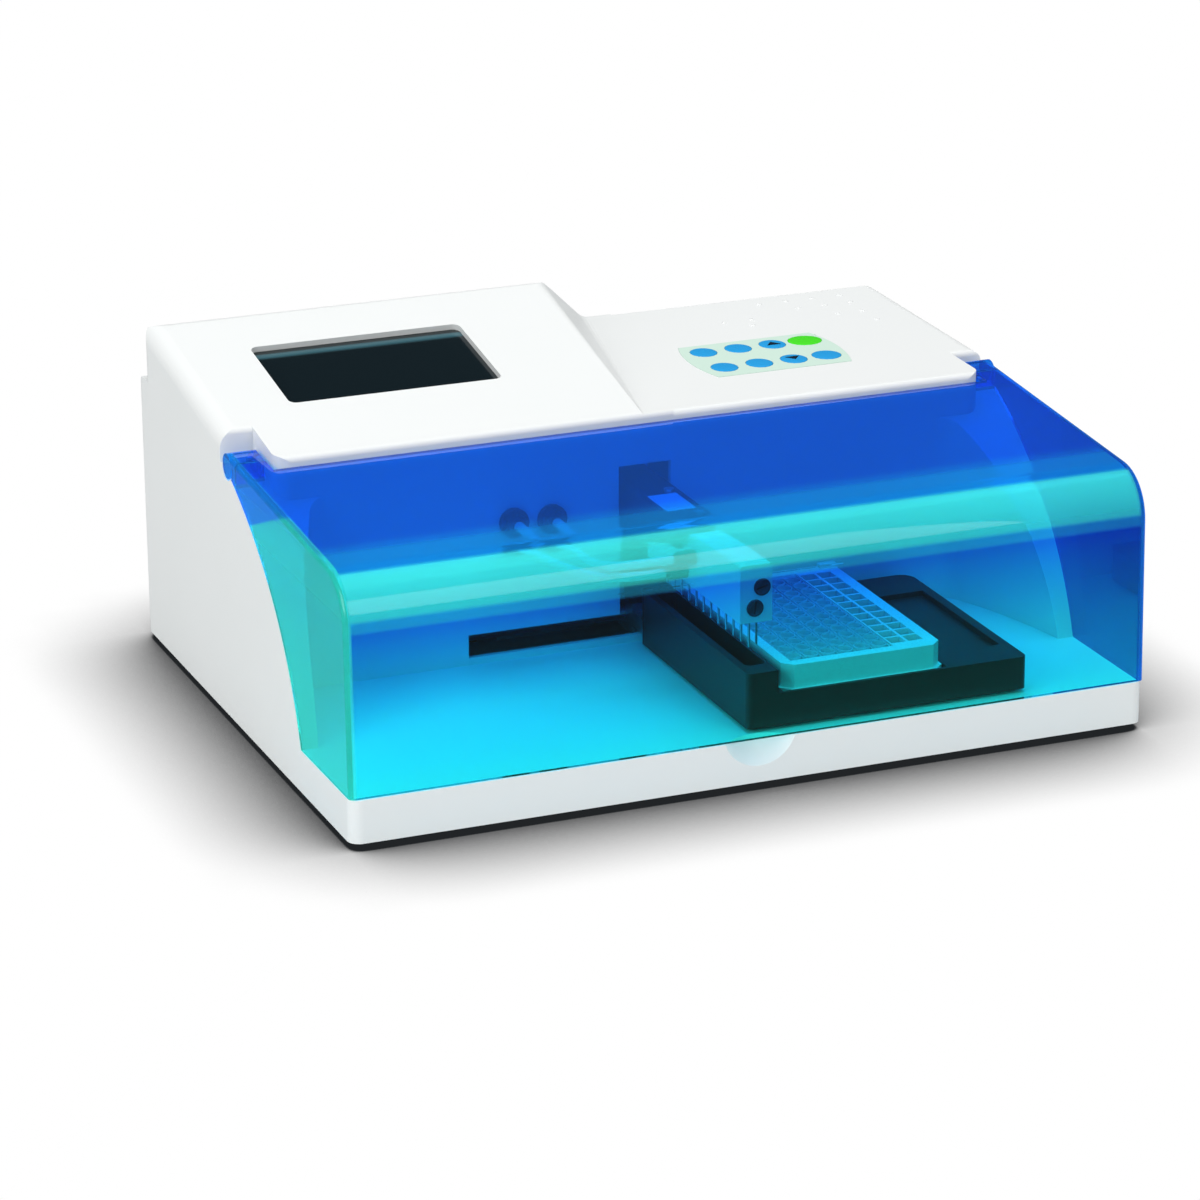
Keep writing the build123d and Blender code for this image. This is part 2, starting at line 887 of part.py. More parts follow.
def make_base_screws():
    """Pan head screws that hold the base plate to the bosses."""
    screws = []
    for x, y in boss_places():
        under = (x, y, foot_height - screw_head_height)
        head = small_bar(under, (x, y, foot_height - fixed_clearance), screw_head_radius)
        screws.append(head + small_bar(under, (x, y, foot_height + screw_length), screw_radius))
    return group(screws)


def make_rear_panel():
    """Steel panel inside the rear opening, with vent slots and the holes of its fittings."""
    blank = panel_seat * RectangleRounded(panel_width, panel_height, panel_corner_radius)
    panel = extrude(blank, -panel_sheet)
    for x, y in panel_screw_places():
        hole = panel_seat * Pos(x, y) * RegularPolygon(screw_radius + fixed_clearance, small_sides)
        panel -= extrude(hole, panel_sheet, both=True)
    for index in range(vent_count):
        x = vent_centre_x + (index - (vent_count - 1) / 2) * vent_pitch
        vent = rear_plane(x, vent_centre_z, wall) * Rectangle(vent_width, vent_height)
        panel -= extrude(vent, panel_sheet, both=True)
    inlet_seat = rear_plane(inlet_centre_x, inlet_centre_z, wall)
    panel -= extrude(inlet_seat * Rectangle(inlet_body_width, inlet_body_height), panel_sheet, both=True)
    for x in port_xs:
        hole = rear_plane(x, port_z, wall) * RegularPolygon(port_body_radius, port_sides)
        panel -= extrude(hole, panel_sheet, both=True)
    return panel


def make_rear_screws():
    """Screws through the housing's rear wall into the panel."""
    screws = []
    for x, y in panel_screw_places():
        place = panel_seat * Pos(x, y)
        head_sketch = RegularPolygon(screw_head_radius, small_sides)
        head = extrude(place * Pos(0, 0, wall) * head_sketch, screw_head_height)
        shank_sketch = RegularPolygon(screw_radius, small_sides)
        shank = extrude(place * Pos(0, 0, -panel_sheet) * shank_sketch, panel_sheet + wall)
        screws.append(head + shank)
    return group(screws)


def make_mains_inlet():
    """Moulded inlet with the well of the power switch beside its socket."""
    plane = rear_plane(inlet_centre_x, inlet_centre_z, wall)
    flange_sketch = RectangleRounded(inlet_flange_width, inlet_flange_height, inlet_corner_radius)
    flange = extrude(plane * flange_sketch, inlet_flange_thickness)
    body = extrude(plane * Rectangle(inlet_body_width, inlet_body_height), -inlet_body_depth)
    inlet = flange + body
    face = plane * Pos(-socket_offset_x, 0, inlet_flange_thickness)
    upper_corners = Rectangle(socket_width, socket_height).vertices().group_by(Axis.Y)[-1]
    inlet -= extrude(face * chamfer(upper_corners, socket_corner), -socket_depth)
    for x, y in ((-prong_pitch, -prong_rise), (0, prong_rise), (prong_pitch, -prong_rise)):
        foot = face * Pos(x, y, -socket_depth) * Rectangle(prong_width, prong_thickness)
        inlet += extrude(foot, prong_length)
    well = plane * Pos(-rocker_offset_x, 0, inlet_flange_thickness)
    well_sketch = Rectangle(rocker_width + 2 * rocker_clearance, rocker_height + 2 * rocker_clearance)
    inlet -= extrude(well * well_sketch, -rocker_well_depth)
    return inlet


def rocker_axis_plane():
    """Plane through the rocker's pivot, facing rearward."""
    plane = rear_plane(inlet_centre_x, inlet_centre_z, wall)
    return plane * Pos(-rocker_offset_x, 0, inlet_flange_thickness)


def make_power_rocker():
    """Rocker of the power switch: a shallow vee face that tips about its middle."""
    half = rocker_height / 2
    side = Polyline(
        (-half, 0), (-half, rocker_proud), (0, rocker_proud / 2), (half, rocker_proud / 4),
        (half, -rocker_depth / 2), (0, -rocker_depth), (-half, -rocker_depth / 2), close=True,
    )
    sideways = Plane(origin=(-rocker_width / 2, 0, 0), x_dir=(0, 1, 0), z_dir=(1, 0, 0))
    place = rocker_axis_plane() * sideways.location
    return extrude(place * make_face(side), rocker_width)


def make_hose_ports():
    """Three bulkhead hose barbs through the rear panel."""
    ports = []
    for x in port_xs:
        plane = rear_plane(x, port_z, wall)
        port = extrude(plane * RegularPolygon(port_flange_radius, port_sides), port_flange_height)
        body = RegularPolygon(port_body_radius - fixed_clearance, port_sides)
        port += extrude(plane * body, -port_inner_length)
        pitch = port_barb_length / port_barb_count
        for index in range(port_barb_count):
            base = plane * Pos(0, 0, port_flange_height + index * pitch)
            port += extrude(base * RegularPolygon(port_barb_radius, port_sides), pitch, taper=port_taper)
        bore = plane * Pos(0, 0, -port_inner_length) * RegularPolygon(port_bore_radius, small_sides)
        port -= extrude(bore, port_inner_length + port_flange_height + port_barb_length)
        ports.append(port)
    return group(ports)


# Display and keypad

def make_lcd_window():
    """Clear pane glued under the display opening."""
    size = (display_width + 2 * window_lap, display_length + 2 * window_lap)
    pane = display_plane.offset(-wall) * RectangleRounded(*size, display_corner_radius)
    return extrude(pane, -window_thickness)


def make_lcd_module():
    """Display with its metal frame and its board, behind the pane."""
    frame_size = (display_width + display_frame_margin, display_length + display_frame_margin)
    board_size = (display_width + 2 * display_board_lap, display_length + 2 * display_board_lap)
    face = display_plane.offset(-wall - window_thickness)
    module = extrude(face * Rectangle(*frame_size), -display_frame_depth)
    back = display_plane.offset(-wall - window_thickness - display_frame_depth)
    return module + extrude(back * Rectangle(*board_size), -display_board_thickness)


def overlay_sketch(growth):
    """Outline of the keypad overlay: straight front and rear, bowed ends."""
    side = (overlay_right - overlay_left) / 2 - overlay_bulge + growth
    half = (overlay_rear_y - overlay_front_y) / 2 + growth
    right = ThreePointArc((side, -half), (side + overlay_bulge, 0), (side, half))
    left = ThreePointArc((-side, half), (-side - overlay_bulge, 0), (-side, -half))
    rear = Line((side, half), (-side, half))
    front = Line((-side, -half), (side, -half))
    return make_face(right + rear + left + front)


def make_keypad_overlay():
    """Thin printed overlay let into the deck, with a window for each key."""
    drop = overlay_thickness - overlay_proud
    overlay = extrude(overlay_plane.offset(-drop) * overlay_sketch(0), overlay_thickness)
    for x, y, half_x, half_y in key_places():
        plane = local_plane(x, y, deck_z(y), deck_slope)
        overlay -= extrude(plane * oval(half_x + key_gap, half_y + key_gap), wall, both=True)
    return overlay


def make_key(place):
    """One oval key that sinks through the overlay onto its dome."""
    x, y, half_x, half_y = place
    plane = local_plane(x, y, deck_z(y), deck_slope)
    height = key_body_drop + overlay_proud + key_proud
    return extrude(plane.offset(-key_body_drop) * oval(half_x, half_y), height)


def make_keypad_board():
    """Board under the keys, with a dome below each key and four posts to the deck."""
    top = key_body_drop + key_travel + key_travel_margin + dome_height
    size = (
        overlay_right - overlay_left + 2 * board_margin,
        overlay_rear_y - overlay_front_y + 2 * board_margin,
    )
    board = extrude(overlay_plane.offset(-top) * Rectangle(*size), -board_thickness)
    for x, y, half_x, half_y in key_places():
        plane = local_plane(x, y, deck_z(y), deck_slope)
        board += extrude(plane.offset(-top) * RegularPolygon(dome_radius, small_sides), dome_height)
    for sign_x in (-1, 1):
        for sign_y in (-1, 1):
            place = Pos(
                sign_x * (size[0] / 2 - board_post_radius),
                sign_y * (size[1] / 2 - board_post_radius),
            )
            post = overlay_plane.offset(-top) * place * RegularPolygon(board_post_radius, small_sides)
            board += extrude(post, top - wall)
    return board


# Cover and hinge

def cover_rise():
    """Slope of the cover's top towards the rear."""
    return (cover_rear_z - cover_front_top_z) / (notch_rear_y - cover_front_top_y)


def cheek_keepout():
    """Cheek, grown by the cover's gap and lowered so that the cover nearly rests on the plinth."""
    below_hinge = Pos(0, -seat_radius) * Rectangle(4 * seat_radius, 2 * seat_radius)
    filled_seat = Pos(hinge_y, hinge_z) * (Circle(seat_radius) & below_hinge)
    grown = offset(cheek_outline(0) + filled_seat, cover_gap, kind=Kind.INTERSECTION)
    return Pos(0, cover_rest_gap - cover_gap) * grown


def cover_outline():
    """Side view of the closed cover's outside, from its front foot over the bend to the ears."""
    rear_top_y = hinge_y + ear_radius
    rear_top_z = cover_front_top_z + cover_rise() * (rear_top_y - cover_front_top_y)
    points = (
        (cover_front_foot_y, floor_z),
        (cover_front_top_y, cover_front_top_z),
        (rear_top_y, rear_top_z),
        (rear_top_y, hinge_z - ear_radius),
        (cheek_foot_y, floor_z),
    )
    face = closed_outline(points, [0, cover_bend_radius, 0, 0, 0])
    behind_hinge = Pos(hinge_y + ear_radius, hinge_z) * Rectangle(2 * ear_radius, 4 * ear_radius)
    ear = Pos(hinge_y, hinge_z) * Circle(ear_radius)
    return (face - cheek_keepout() - behind_hinge) + ear


def under_skin():
    """Side view of everything that lies under the cover's skin."""
    drop = cover_wall * sqrt(1 + cover_rise() ** 2)
    far_y = rear_foot_y
    points = (
        (cover_front_foot_y + cover_wall, 0),
        (cover_front_top_y + cover_wall, cover_front_top_z - drop),
        (far_y, cover_front_top_z - drop + cover_rise() * (far_y - cover_front_top_y)),
        (far_y, 0),
    )
    return closed_outline(points, [0, cover_bend_radius - cover_wall, 0, 0])


def make_splash_cover():
    """Clear cover bent from front to top, with side panels and two hinge ears."""
    side = half_width
    high = top_limit
    outline = cover_outline()
    cover = along_width(outline, -side, side)
    bent_edges = cover.edges().filter_by(
        lambda e: abs(e.center().X) > side - cover_wall
        and (e.center().Z > hinge_z or e.center().Y < cover_bend_radius)
        and e.length > cover_bend_radius
    )
    cover = fillet(bent_edges, cover_edge_radius)
    cover -= along_width(under_skin(), -side + cover_wall, side - cover_wall)
    cover -= box(-side + ear_width, side - ear_width, cover_rear_edge_y, rear_foot_y, 0, top_limit)
    ear_side = outline & Pos(hinge_y, hinge_z) * Rectangle(2 * (hinge_y - ear_front_web_y), high)
    web_side = outline & Pos(ear_front_web_y + ear_web / 2, hinge_z) * Rectangle(ear_web, high)
    for sign in (-1, 1):
        inner = sign * (side - ear_width)
        ear_outer = inner + sign * ear_web
        cover += along_width(ear_side, min(inner, ear_outer), max(inner, ear_outer))
        outer = sign * (side - cover_wall)
        cover += along_width(web_side, min(inner, outer), max(inner, outer))
        start = (inner - sign * ear_web, hinge_y, hinge_z)
        reach = (ear_outer + sign * ear_web, hinge_y, hinge_z)
        cover -= round_bar(start, reach, hinge_pin_radius + running_clearance)
    return cover


def make_hinge_pins():
    """Two steel pins from the housing's sides into the cover's ears."""
    pins = []
    for sign in (-1, 1):
        root = sign * (half_width - notch_width - hinge_pin_depth)
        tip = sign * (half_width - ear_width + ear_web + hinge_pin_overhang)
        pins.append(round_bar((root, hinge_y, hinge_z), (tip, hinge_y, hinge_z), hinge_pin_radius))
    return group(pins)


# Microplate

def well_x(column):
    """Centre of a column of wells, counted from the left."""
    return microplate_left + first_column_offset + column * well_pitch


def well_y(row):
    """Centre of a row of wells, counted from the front."""
    return microplate_front_y + first_row_offset + row * well_pitch


def microplate_plan(inset):
    """Plan of the microplate with two cut front corners."""
    left = microplate_left + inset
    right = microplate_right - inset
    front = microplate_front_y + inset
    rear = microplate_rear_y - inset
    cut = microplate_chamfer
    points = (
        (left + cut, front), (right - cut, front), (right, front + cut),
        (right, rear), (left, rear), (left, front + cut),
    )
    rounding = microplate_corner_radius - inset
    return closed_outline(points, [0, 0, 0, rounding, rounding, 0])


def strip_field(growth, height_from, height_to):
    """Space of all the strips together."""
    half_row = well_pitch / 2
    left = well_x(0) - half_row - growth
    right = well_x(strip_count - 1) + half_row
    front = well_y(0) - half_row - growth
    rear = well_y(row_count - 1) + half_row + growth
    return box(left, right, front, rear, height_from, height_to)


def make_plate_frame():
    """Frame of the microplate: skirt, flange, top deck, strip opening and two open columns."""
    bottom = nest_floor_z
    top = microplate_top_z
    frame = upward(microplate_plan(0), bottom, bottom + microplate_flange)
    frame += upward(microplate_plan(microplate_inset), bottom, top)
    frame -= upward(microplate_plan(microplate_inset + microplate_wall), bottom, top - microplate_deck)
    frame -= strip_field(0, bottom, top)
    frame -= strip_field(strip_tab + strip_play, top - strip_tab_thickness, top) & box(
        well_x(0) - well_pitch / 2, well_x(strip_count - 1) + well_pitch / 2,
        microplate_front_y, microplate_rear_y, bottom, top)
    for column in range(strip_count, column_count):
        cells = Sketch() + [
            Pos(well_x(column), well_y(row)) * Rectangle(cell_size, cell_size) for row in range(row_count)
        ]
        frame -= upward(cells, bottom, top)
    lug = box(microplate_right - microplate_inset - lug_width, microplate_right - microplate_inset,
              microplate_rear_y - microplate_inset - lug_length, microplate_rear_y - microplate_inset,
              top - microplate_deck, top + lug_height)
    return frame + (lug & upward(microplate_plan(microplate_inset), bottom, top + 2 * lug_height))


def make_well_strips():
    """Six strips of twelve wells, each hung by its end tabs in the frame."""
    top = microplate_top_z
    half_tab = well_pitch / 2 - strip_play
    half_bar = strip_bar_width / 2
    front = well_y(0) - well_pitch / 2
    rear = well_y(row_count - 1) + well_pitch / 2
    strips = []
    for column in range(strip_count):
        x = well_x(column)
        strip = box(x - half_tab, x + half_tab, front - strip_tab, rear + strip_tab,
                    top - strip_tab_thickness, top)
        strip += box(x - half_bar, x + half_bar, front + strip_play, rear - strip_play,
                     top - strip_depth, top)
        wells = Sketch() + [
            Pos(x, well_y(row)) * RegularPolygon(well_radius, small_sides) for row in range(row_count)
        ]
        strip -= upward(wells, top - well_depth, top)
        strips.append(strip)
    return group(strips)


# Plate carrier and its drive

def make_plate_carrier():
    """Black carrier: nest for the microplate, finger bay, and the rinse bar with its trough."""
    left = carrier_left
    right = carrier_right
    plan = closed_outline(
        (
            (left, carrier_front_y),
            (right, carrier_front_y),
            (right, carrier_rear_y),
            (left, carrier_rear_y),
        ),
        [carrier_edge_radius, carrier_edge_radius, carrier_corner_radius, carrier_edge_radius],
    )
    bar_right = left + rinse_bar_width
    body = upward(plan, carrier_bottom_z, rinse_bar_top_z)
    body -= box(bar_right, right, 0, rear_foot_y, carrier_deck_z, top_limit)
    body -= box(microplate_left - nest_gap, microplate_right + nest_gap, microplate_front_y - nest_gap,
                microplate_rear_y + nest_gap, nest_floor_z, top_limit)
    body -= box(microplate_right, finger_bay_right, finger_bay_front_y, finger_bay_rear_y,
                nest_floor_z, top_limit)
    trough_size = (trough_right - trough_left, trough_rear_y - trough_front_y)
    trough_middle = Pos((trough_left + trough_right) / 2, (trough_front_y + trough_rear_y) / 2)
    trough = trough_middle * RectangleRounded(*trough_size, carrier_edge_radius)
    body -= upward(trough, trough_floor_z, top_limit)
    body -= box(left + underside_rim, right - underside_rim, carrier_front_y + underside_rim,
                underside_rear_y, carrier_bottom_z, nest_floor_z - underside_floor)
    body -= box(arm_left, arm_right, arm_root_y, carrier_rear_y, arm_bottom_z, arm_top_z)
    return body


def make_carrier_arm():
    """Flat arm through the slot, with a flange bolted to the slide block."""
    arm = box(arm_left, arm_right, arm_root_y, arm_flange_front_y, arm_bottom_z, arm_top_z)
    flange = box(arm_left, arm_right, arm_flange_front_y, arm_flange_front_y + arm_flange_thickness,
                 slide_bottom_z, slide_top_z)
    return arm + flange


def make_x_slide_block():
    """Slide block on the two rails, with a belt clamp and a sensor flag."""
    front = arm_flange_front_y + arm_flange_thickness
    block = box(arm_left, arm_right, front, slide_rear_y, slide_bottom_z, slide_top_z)
    for y in (rail_front_y, rail_rear_y):
        block -= bar((arm_left, y, rail_z), (arm_right, y, rail_z), rail_radius + running_clearance)
    run_y = belt_y - belt_pitch_radius
    block += box(clamp_left, clamp_right, clamp_front_y, slide_rear_y, slide_top_z, belt_top_z + clamp_head)
    half_gap = belt_thickness / 2 + belt_gap
    block -= box(clamp_left, clamp_right, run_y - half_gap, run_y + half_gap,
                 belt_bottom_z - belt_gap, top_limit)
    flag_y = rail_front_y + flag_thickness
    block += box(arm_left - flag_length, arm_left + flag_thickness, flag_y, flag_y + flag_thickness,
                 slide_top_z - flag_thickness, slide_top_z + flag_height)
    return block


def make_x_guide_rods():
    """Two ground rods behind the chamber wall."""
    right = right_block_x + end_block_width
    rows = (rail_front_y, rail_rear_y)
    return group(bar((left_block_x, y, rail_z), (right, y, rail_z), rail_radius) for y in rows)


def make_x_rod_blocks():
    """End blocks that hold the rods on the base plate."""
    blocks = []
    for x in (left_block_x, right_block_x):
        block = box(x, x + end_block_width, end_block_front_y, end_block_rear_y, plate_top_z, slide_top_z)
        for y in (rail_front_y, rail_rear_y):
            block -= bar((x, y, rail_z), (x + end_block_width, y, rail_z), rail_radius + fixed_clearance)
        blocks.append(block)
    return group(blocks)


def stepper(x, y, z_from, height, facing):
    """Square stepper motor with its round boss on top or below, and a blind shaft bore in it."""
    plan = Pos(x, y) * chamfer(Rectangle(motor_size, motor_size).vertices(), motor_chamfer)
    body = upward(plan, z_from, z_from + height)
    face_z = z_from + height if facing > 0 else z_from
    boss_end = face_z + facing * motor_boss_height
    if facing > 0:
        body += bar((x, y, face_z), (x, y, boss_end), motor_boss_radius)
    bore_end = face_z - facing * shaft_bore_depth
    return body - bar((x, y, boss_end + facing), (x, y, bore_end), shaft_radius + running_clearance)


def make_x_motor():
    """Stepper that drives the carrier's belt."""
    return stepper(drive_motor_x, belt_y, plate_top_z, motor_height, 1)


def pulley(x, shaft_from, shaft_to):
    """Flanged belt pulley, on its shaft where one is given."""
    low = belt_bottom_z - pulley_side_gap
    high = belt_top_z + pulley_side_gap
    barrel_radius = belt_pitch_radius - belt_thickness / 2 - belt_gap
    wheel = bar((x, belt_y, low), (x, belt_y, high), barrel_radius)
    wheel += bar((x, belt_y, low - pulley_flange_thickness), (x, belt_y, low), pulley_flange_radius)
    wheel += bar((x, belt_y, high), (x, belt_y, high + pulley_flange_thickness), pulley_flange_radius)
    if shaft_to > shaft_from:
        return wheel + bar((x, belt_y, shaft_from), (x, belt_y, shaft_to), shaft_radius)
    bore = bar((x, belt_y, 0), (x, belt_y, top_limit), shaft_radius + running_clearance)
    return wheel - bore


def make_motor_pulley():
    """Drive pulley with the motor's shaft."""
    shaft_from = plate_top_z + motor_height - shaft_bore_depth + pulley_side_gap
    return pulley(drive_motor_x, shaft_from, belt_top_z + 2 * pulley_flange_thickness + clamp_head)


def make_idler_pulley():
    """Idler pulley that returns the belt."""
    return pulley(idler_x, 0, 0)


def make_idler_bracket():
    """Folded bracket with the idler's pin."""
    half = idler_bracket_width / 2
    top = idler_bracket_top_z
    left = idler_x - half
    right = idler_x + half
    bracket = box(left, right, belt_y - half, belt_y + half, plate_top_z, plate_top_z + sheet)
    bracket += box(left, right, belt_y - half, belt_y + half, top - sheet, top)
    bracket += box(right - sheet, right, belt_y - half, belt_y + half, plate_top_z, top)
    pin_top = belt_top_z + pulley_side_gap + pulley_flange_thickness + sheet
    washer_top = belt_bottom_z - pulley_side_gap - pulley_flange_thickness - pulley_side_gap
    bracket += bar((idler_x, belt_y, top), (idler_x, belt_y, washer_top), 2 * shaft_radius)
    return bracket + bar((idler_x, belt_y, top), (idler_x, belt_y, pin_top), shaft_radius)


def make_drive_belt():
    """Closed belt round both pulleys."""
    centre = (drive_motor_x + idler_x) / 2
    span = idler_x - drive_motor_x
    outer_radius = belt_pitch_radius + belt_thickness / 2
    inner_radius = belt_pitch_radius - belt_thickness / 2
    outer = Pos(centre, belt_y) * SlotCenterToCenter(span, 2 * outer_radius)
    inner = Pos(centre, belt_y) * SlotCenterToCenter(span, 2 * inner_radius)
    return upward(outer - inner, belt_bottom_z, belt_top_z)


def make_position_sensors():
    """Forked light sensors: one on the left rod block, one on the lift's shelf."""
    sensors = []
    flag_y = rail_front_y + flag_thickness + flag_thickness / 2
    shelf_top = lift_shelf_z + lift_frame_sheet
    shelf_y = lift_shelf_front_y + sensor_gap / 2 + sensor_prong
    places = (
        (left_block_x + end_block_width / 2, flag_y, slide_top_z),
        (lift_x, shelf_y, shelf_top),
    )
    for x, y, z in places:
        half_length = sensor_length / 2
        half = sensor_gap / 2 + sensor_prong
        fork = box(x - half_length, x + half_length, y - half, y + half, z, z + sensor_height)
        fork -= box(x - half_length, x + half_length, y - sensor_gap / 2, y + sensor_gap / 2,
                    z + sensor_base, z + sensor_height)
        sensors.append(fork)
    return group(sensors)


# Wash head

def needle_y(index):
    """Place of a needle pair, counted from the front."""
    return needle_first_y + index * well_pitch


def make_wash_manifold():
    """Long head block with two drilled channels and the seats of their end plugs."""
    block = box(head_left, head_right, head_front_y, head_rear_y, head_bottom_z, head_top_z)
    block = chamfer(block.edges().filter_by(Axis.Y).group_by(Axis.Z)[-1], head_edge_radius)
    for x, z in (plug_upper, plug_lower):
        channel_end = (x, head_rear_y - channel_end_margin, z)
        block -= bar((x, head_front_y, z), channel_end, channel_radius)
        block -= bar((x, head_front_y, z), (x, head_front_y + plug_depth, z), plug_radius + fixed_clearance)
    for y in (arm_screw_front_y, arm_screw_middle_y):
        bottom = (arm_screw_x, y, head_top_z - arm_screw_length)
        block -= small_bar(bottom, (arm_screw_x, y, head_top_z), arm_screw_radius + fixed_clearance)
    return block


def make_manifold_plugs():
    """Slotted plugs that close the channels at the front of the head."""
    plugs = []
    for x, z in (plug_upper, plug_lower):
        front = head_front_y - plug_proud
        plug = bar((x, front, z), (x, head_front_y + plug_depth, z), plug_radius)
        half_slot = plug_slot_width / 2
        plug -= box(x - plug_radius, x + plug_radius, front, front + plug_slot_depth,
                    z - half_slot, z + half_slot)
        plugs.append(plug)
    return group(plugs)


def needles(sign, tip_z):
    """One row of twelve steel needles, fixed to the underside of the head."""
    x = needle_centre_x + sign * needle_row_spacing / 2
    rows = [needle_y(index) for index in range(needle_count)]
    return group(
        bar((x, y, tip_z), (x, y, head_bottom_z), needle_radius, needle_sides) for y in rows
    )


def make_dispense_needles():
    """Right row, which fills the wells."""
    return needles(1, needle_tip_z + aspirate_extra)


def make_aspirate_needles():
    """Left row, a little longer, which empties the wells."""
    return needles(-1, needle_tip_z)


def make_head_barbs():
    """Two tube connectors on the left of the head."""
    barbs = []
    for y, z in (barb_upper, barb_lower):
        collar_end = head_left - barb_collar_length
        barb = bar((head_left, y, z), (collar_end, y, z), barb_collar_radius)
        barb += bar((collar_end, y, z), (collar_end - barb_nose_length, y, z), tube_radius)
        barbs.append(barb)
    return group(barbs)


def make_head_arm():
    """Black folded arm from the lift block through the slot to the top of the head."""
    top = head_arm_top_z
    left = head_arm_left
    arm = box(left, head_arm_right, head_arm_front_y, head_arm_rear_y, head_top_z, top)
    side = Polyline(
        (head_arm_front_y, top),
        (head_arm_front_y, top - head_arm_tip_depth),
        (head_arm_notch_y + head_arm_notch_width, top - head_arm_tip_depth),
        (back_wall_y, top - head_arm_root_depth),
        (lift_y - lift_block_half_depth - running_clearance, top - head_arm_root_depth),
        (lift_y - lift_block_half_depth - running_clearance, top),
        close=True,
    )
    notch = box(left, left + head_arm_side_sheet, head_arm_notch_y, head_arm_notch_y + head_arm_notch_width,
                top - head_arm_side_sheet - head_arm_notch_depth, top - head_arm_side_sheet)
    arm += along_width(make_face(side), left, left + head_arm_side_sheet) - notch
    rib_front = head_rear_y + head_arm_side_sheet
    rib_rear = lift_y - lift_block_half_depth - running_clearance
    arm += box(head_arm_right - head_arm_side_sheet, head_arm_right, rib_front, rib_rear,
               top - head_arm_root_depth, top)
    for x, y in arm_screw_places():
        arm -= small_bar((x, y, head_top_z), (x, y, top), arm_screw_radius + fixed_clearance)
    return arm


def arm_screw_places():
    """Screws through the arm: two into the head, two into the lift block."""
    return [
        (arm_screw_x, arm_screw_front_y),
        (arm_screw_x, arm_screw_middle_y),
        (arm_screw_rear_x, lift_y - lift_block_half_depth / 2),
        (head_arm_left + head_arm_right - arm_screw_rear_x, lift_y - lift_block_half_depth / 2),
    ]


def make_arm_screws():
    """Screws that hold the arm to the head and to the lift block."""
    screws = []
    for x, y in arm_screw_places():
        above = (x, y, head_arm_top_z + arm_screw_head_height)
        bottom = (x, y, head_top_z - arm_screw_length + fixed_clearance)
        head = small_bar((x, y, head_arm_top_z), above, arm_screw_head_radius)
        screws.append(head + small_bar(bottom, above, arm_screw_radius))
    return group(screws)


# Lift

def lift_rod_places():
    """The two guide rods of the lift, as (x, y)."""
    return [(lift_x + sign * lift_rod_spacing / 2, lift_y) for sign in (-1, 1)]


def make_lift_block():
    """Block that rides on the lift's rods and screw and carries the head arm."""
    front = lift_y - lift_block_half_depth
    rear = lift_y + lift_block_half_depth
    block = box(lift_block_left, head_arm_right, front, rear, lift_block_bottom_z, head_top_z)
    for x, y in lift_rod_places():
        block -= bar((x, y, 0), (x, y, top_limit), lift_rod_radius + running_clearance)
    block -= bar((lift_x, lift_y, 0), (lift_x, lift_y, top_limit), nut_body_radius + fixed_clearance)
    for x, y in arm_screw_places()[2:]:
        bottom = (x, y, head_top_z - arm_screw_length)
        block -= small_bar(bottom, (x, y, head_top_z), arm_screw_radius + fixed_clearance)
    return block


def make_lift_nut():
    """Flanged brass nut of the lift screw."""
    low = lift_block_bottom_z - nut_flange_thickness
    nut = bar((lift_x, lift_y, low), (lift_x, lift_y, lift_block_bottom_z), nut_flange_radius)
    nut += bar((lift_x, lift_y, lift_block_bottom_z), (lift_x, lift_y, head_top_z), nut_body_radius)
    bore_top = (lift_x, lift_y, top_limit)
    return nut - round_bar((lift_x, lift_y, 0), bore_top, lift_screw_radius + running_clearance)


def make_lift_screw():
    """Lead screw between the lift frame's shelf and the motor, without its thread."""
    low = lift_shelf_z
    high = lift_top_z + lift_frame_sheet
    screw = round_bar((lift_x, lift_y, low), (lift_x, lift_y, high), lift_screw_radius)
    return screw + bar((lift_x, lift_y, high), (lift_x, lift_y, high + lift_screw_bore_depth), shaft_radius)


def make_lift_frame():
    """Upright frame with a foot, a lower shelf and a top flange for the motor."""
    rear = lift_frame_rear_y
    skin = lift_frame_sheet
    left = lift_x - lift_frame_half_width
    right = lift_x + lift_frame_half_width
    frame = box(left, right, rear - skin, rear, plate_top_z, lift_top_z + skin)
    frame += box(left, right, lift_foot_front_y, rear, plate_top_z, plate_top_z + skin)
    frame += box(left, right, lift_shelf_front_y, rear, lift_shelf_z, lift_shelf_z + skin)
    frame += box(left, right, lift_top_front_y, rear, lift_top_z, lift_top_z + skin)
    hole = lift_screw_radius + running_clearance
    return frame - round_bar((lift_x, lift_y, lift_shelf_z), (lift_x, lift_y, top_limit), hole)


def make_z_guide_rods():
    """Two rods that guide the lift block."""
    low = lift_shelf_z + lift_frame_sheet
    return group(bar((x, y, low), (x, y, lift_top_z), lift_rod_radius) for x, y in lift_rod_places())


def make_z_motor():
    """Flat stepper on top of the lift frame that turns the screw."""
    return stepper(lift_x, lift_y, lift_top_z + lift_frame_sheet, pancake_height, -1)


# Tubes and their fittings

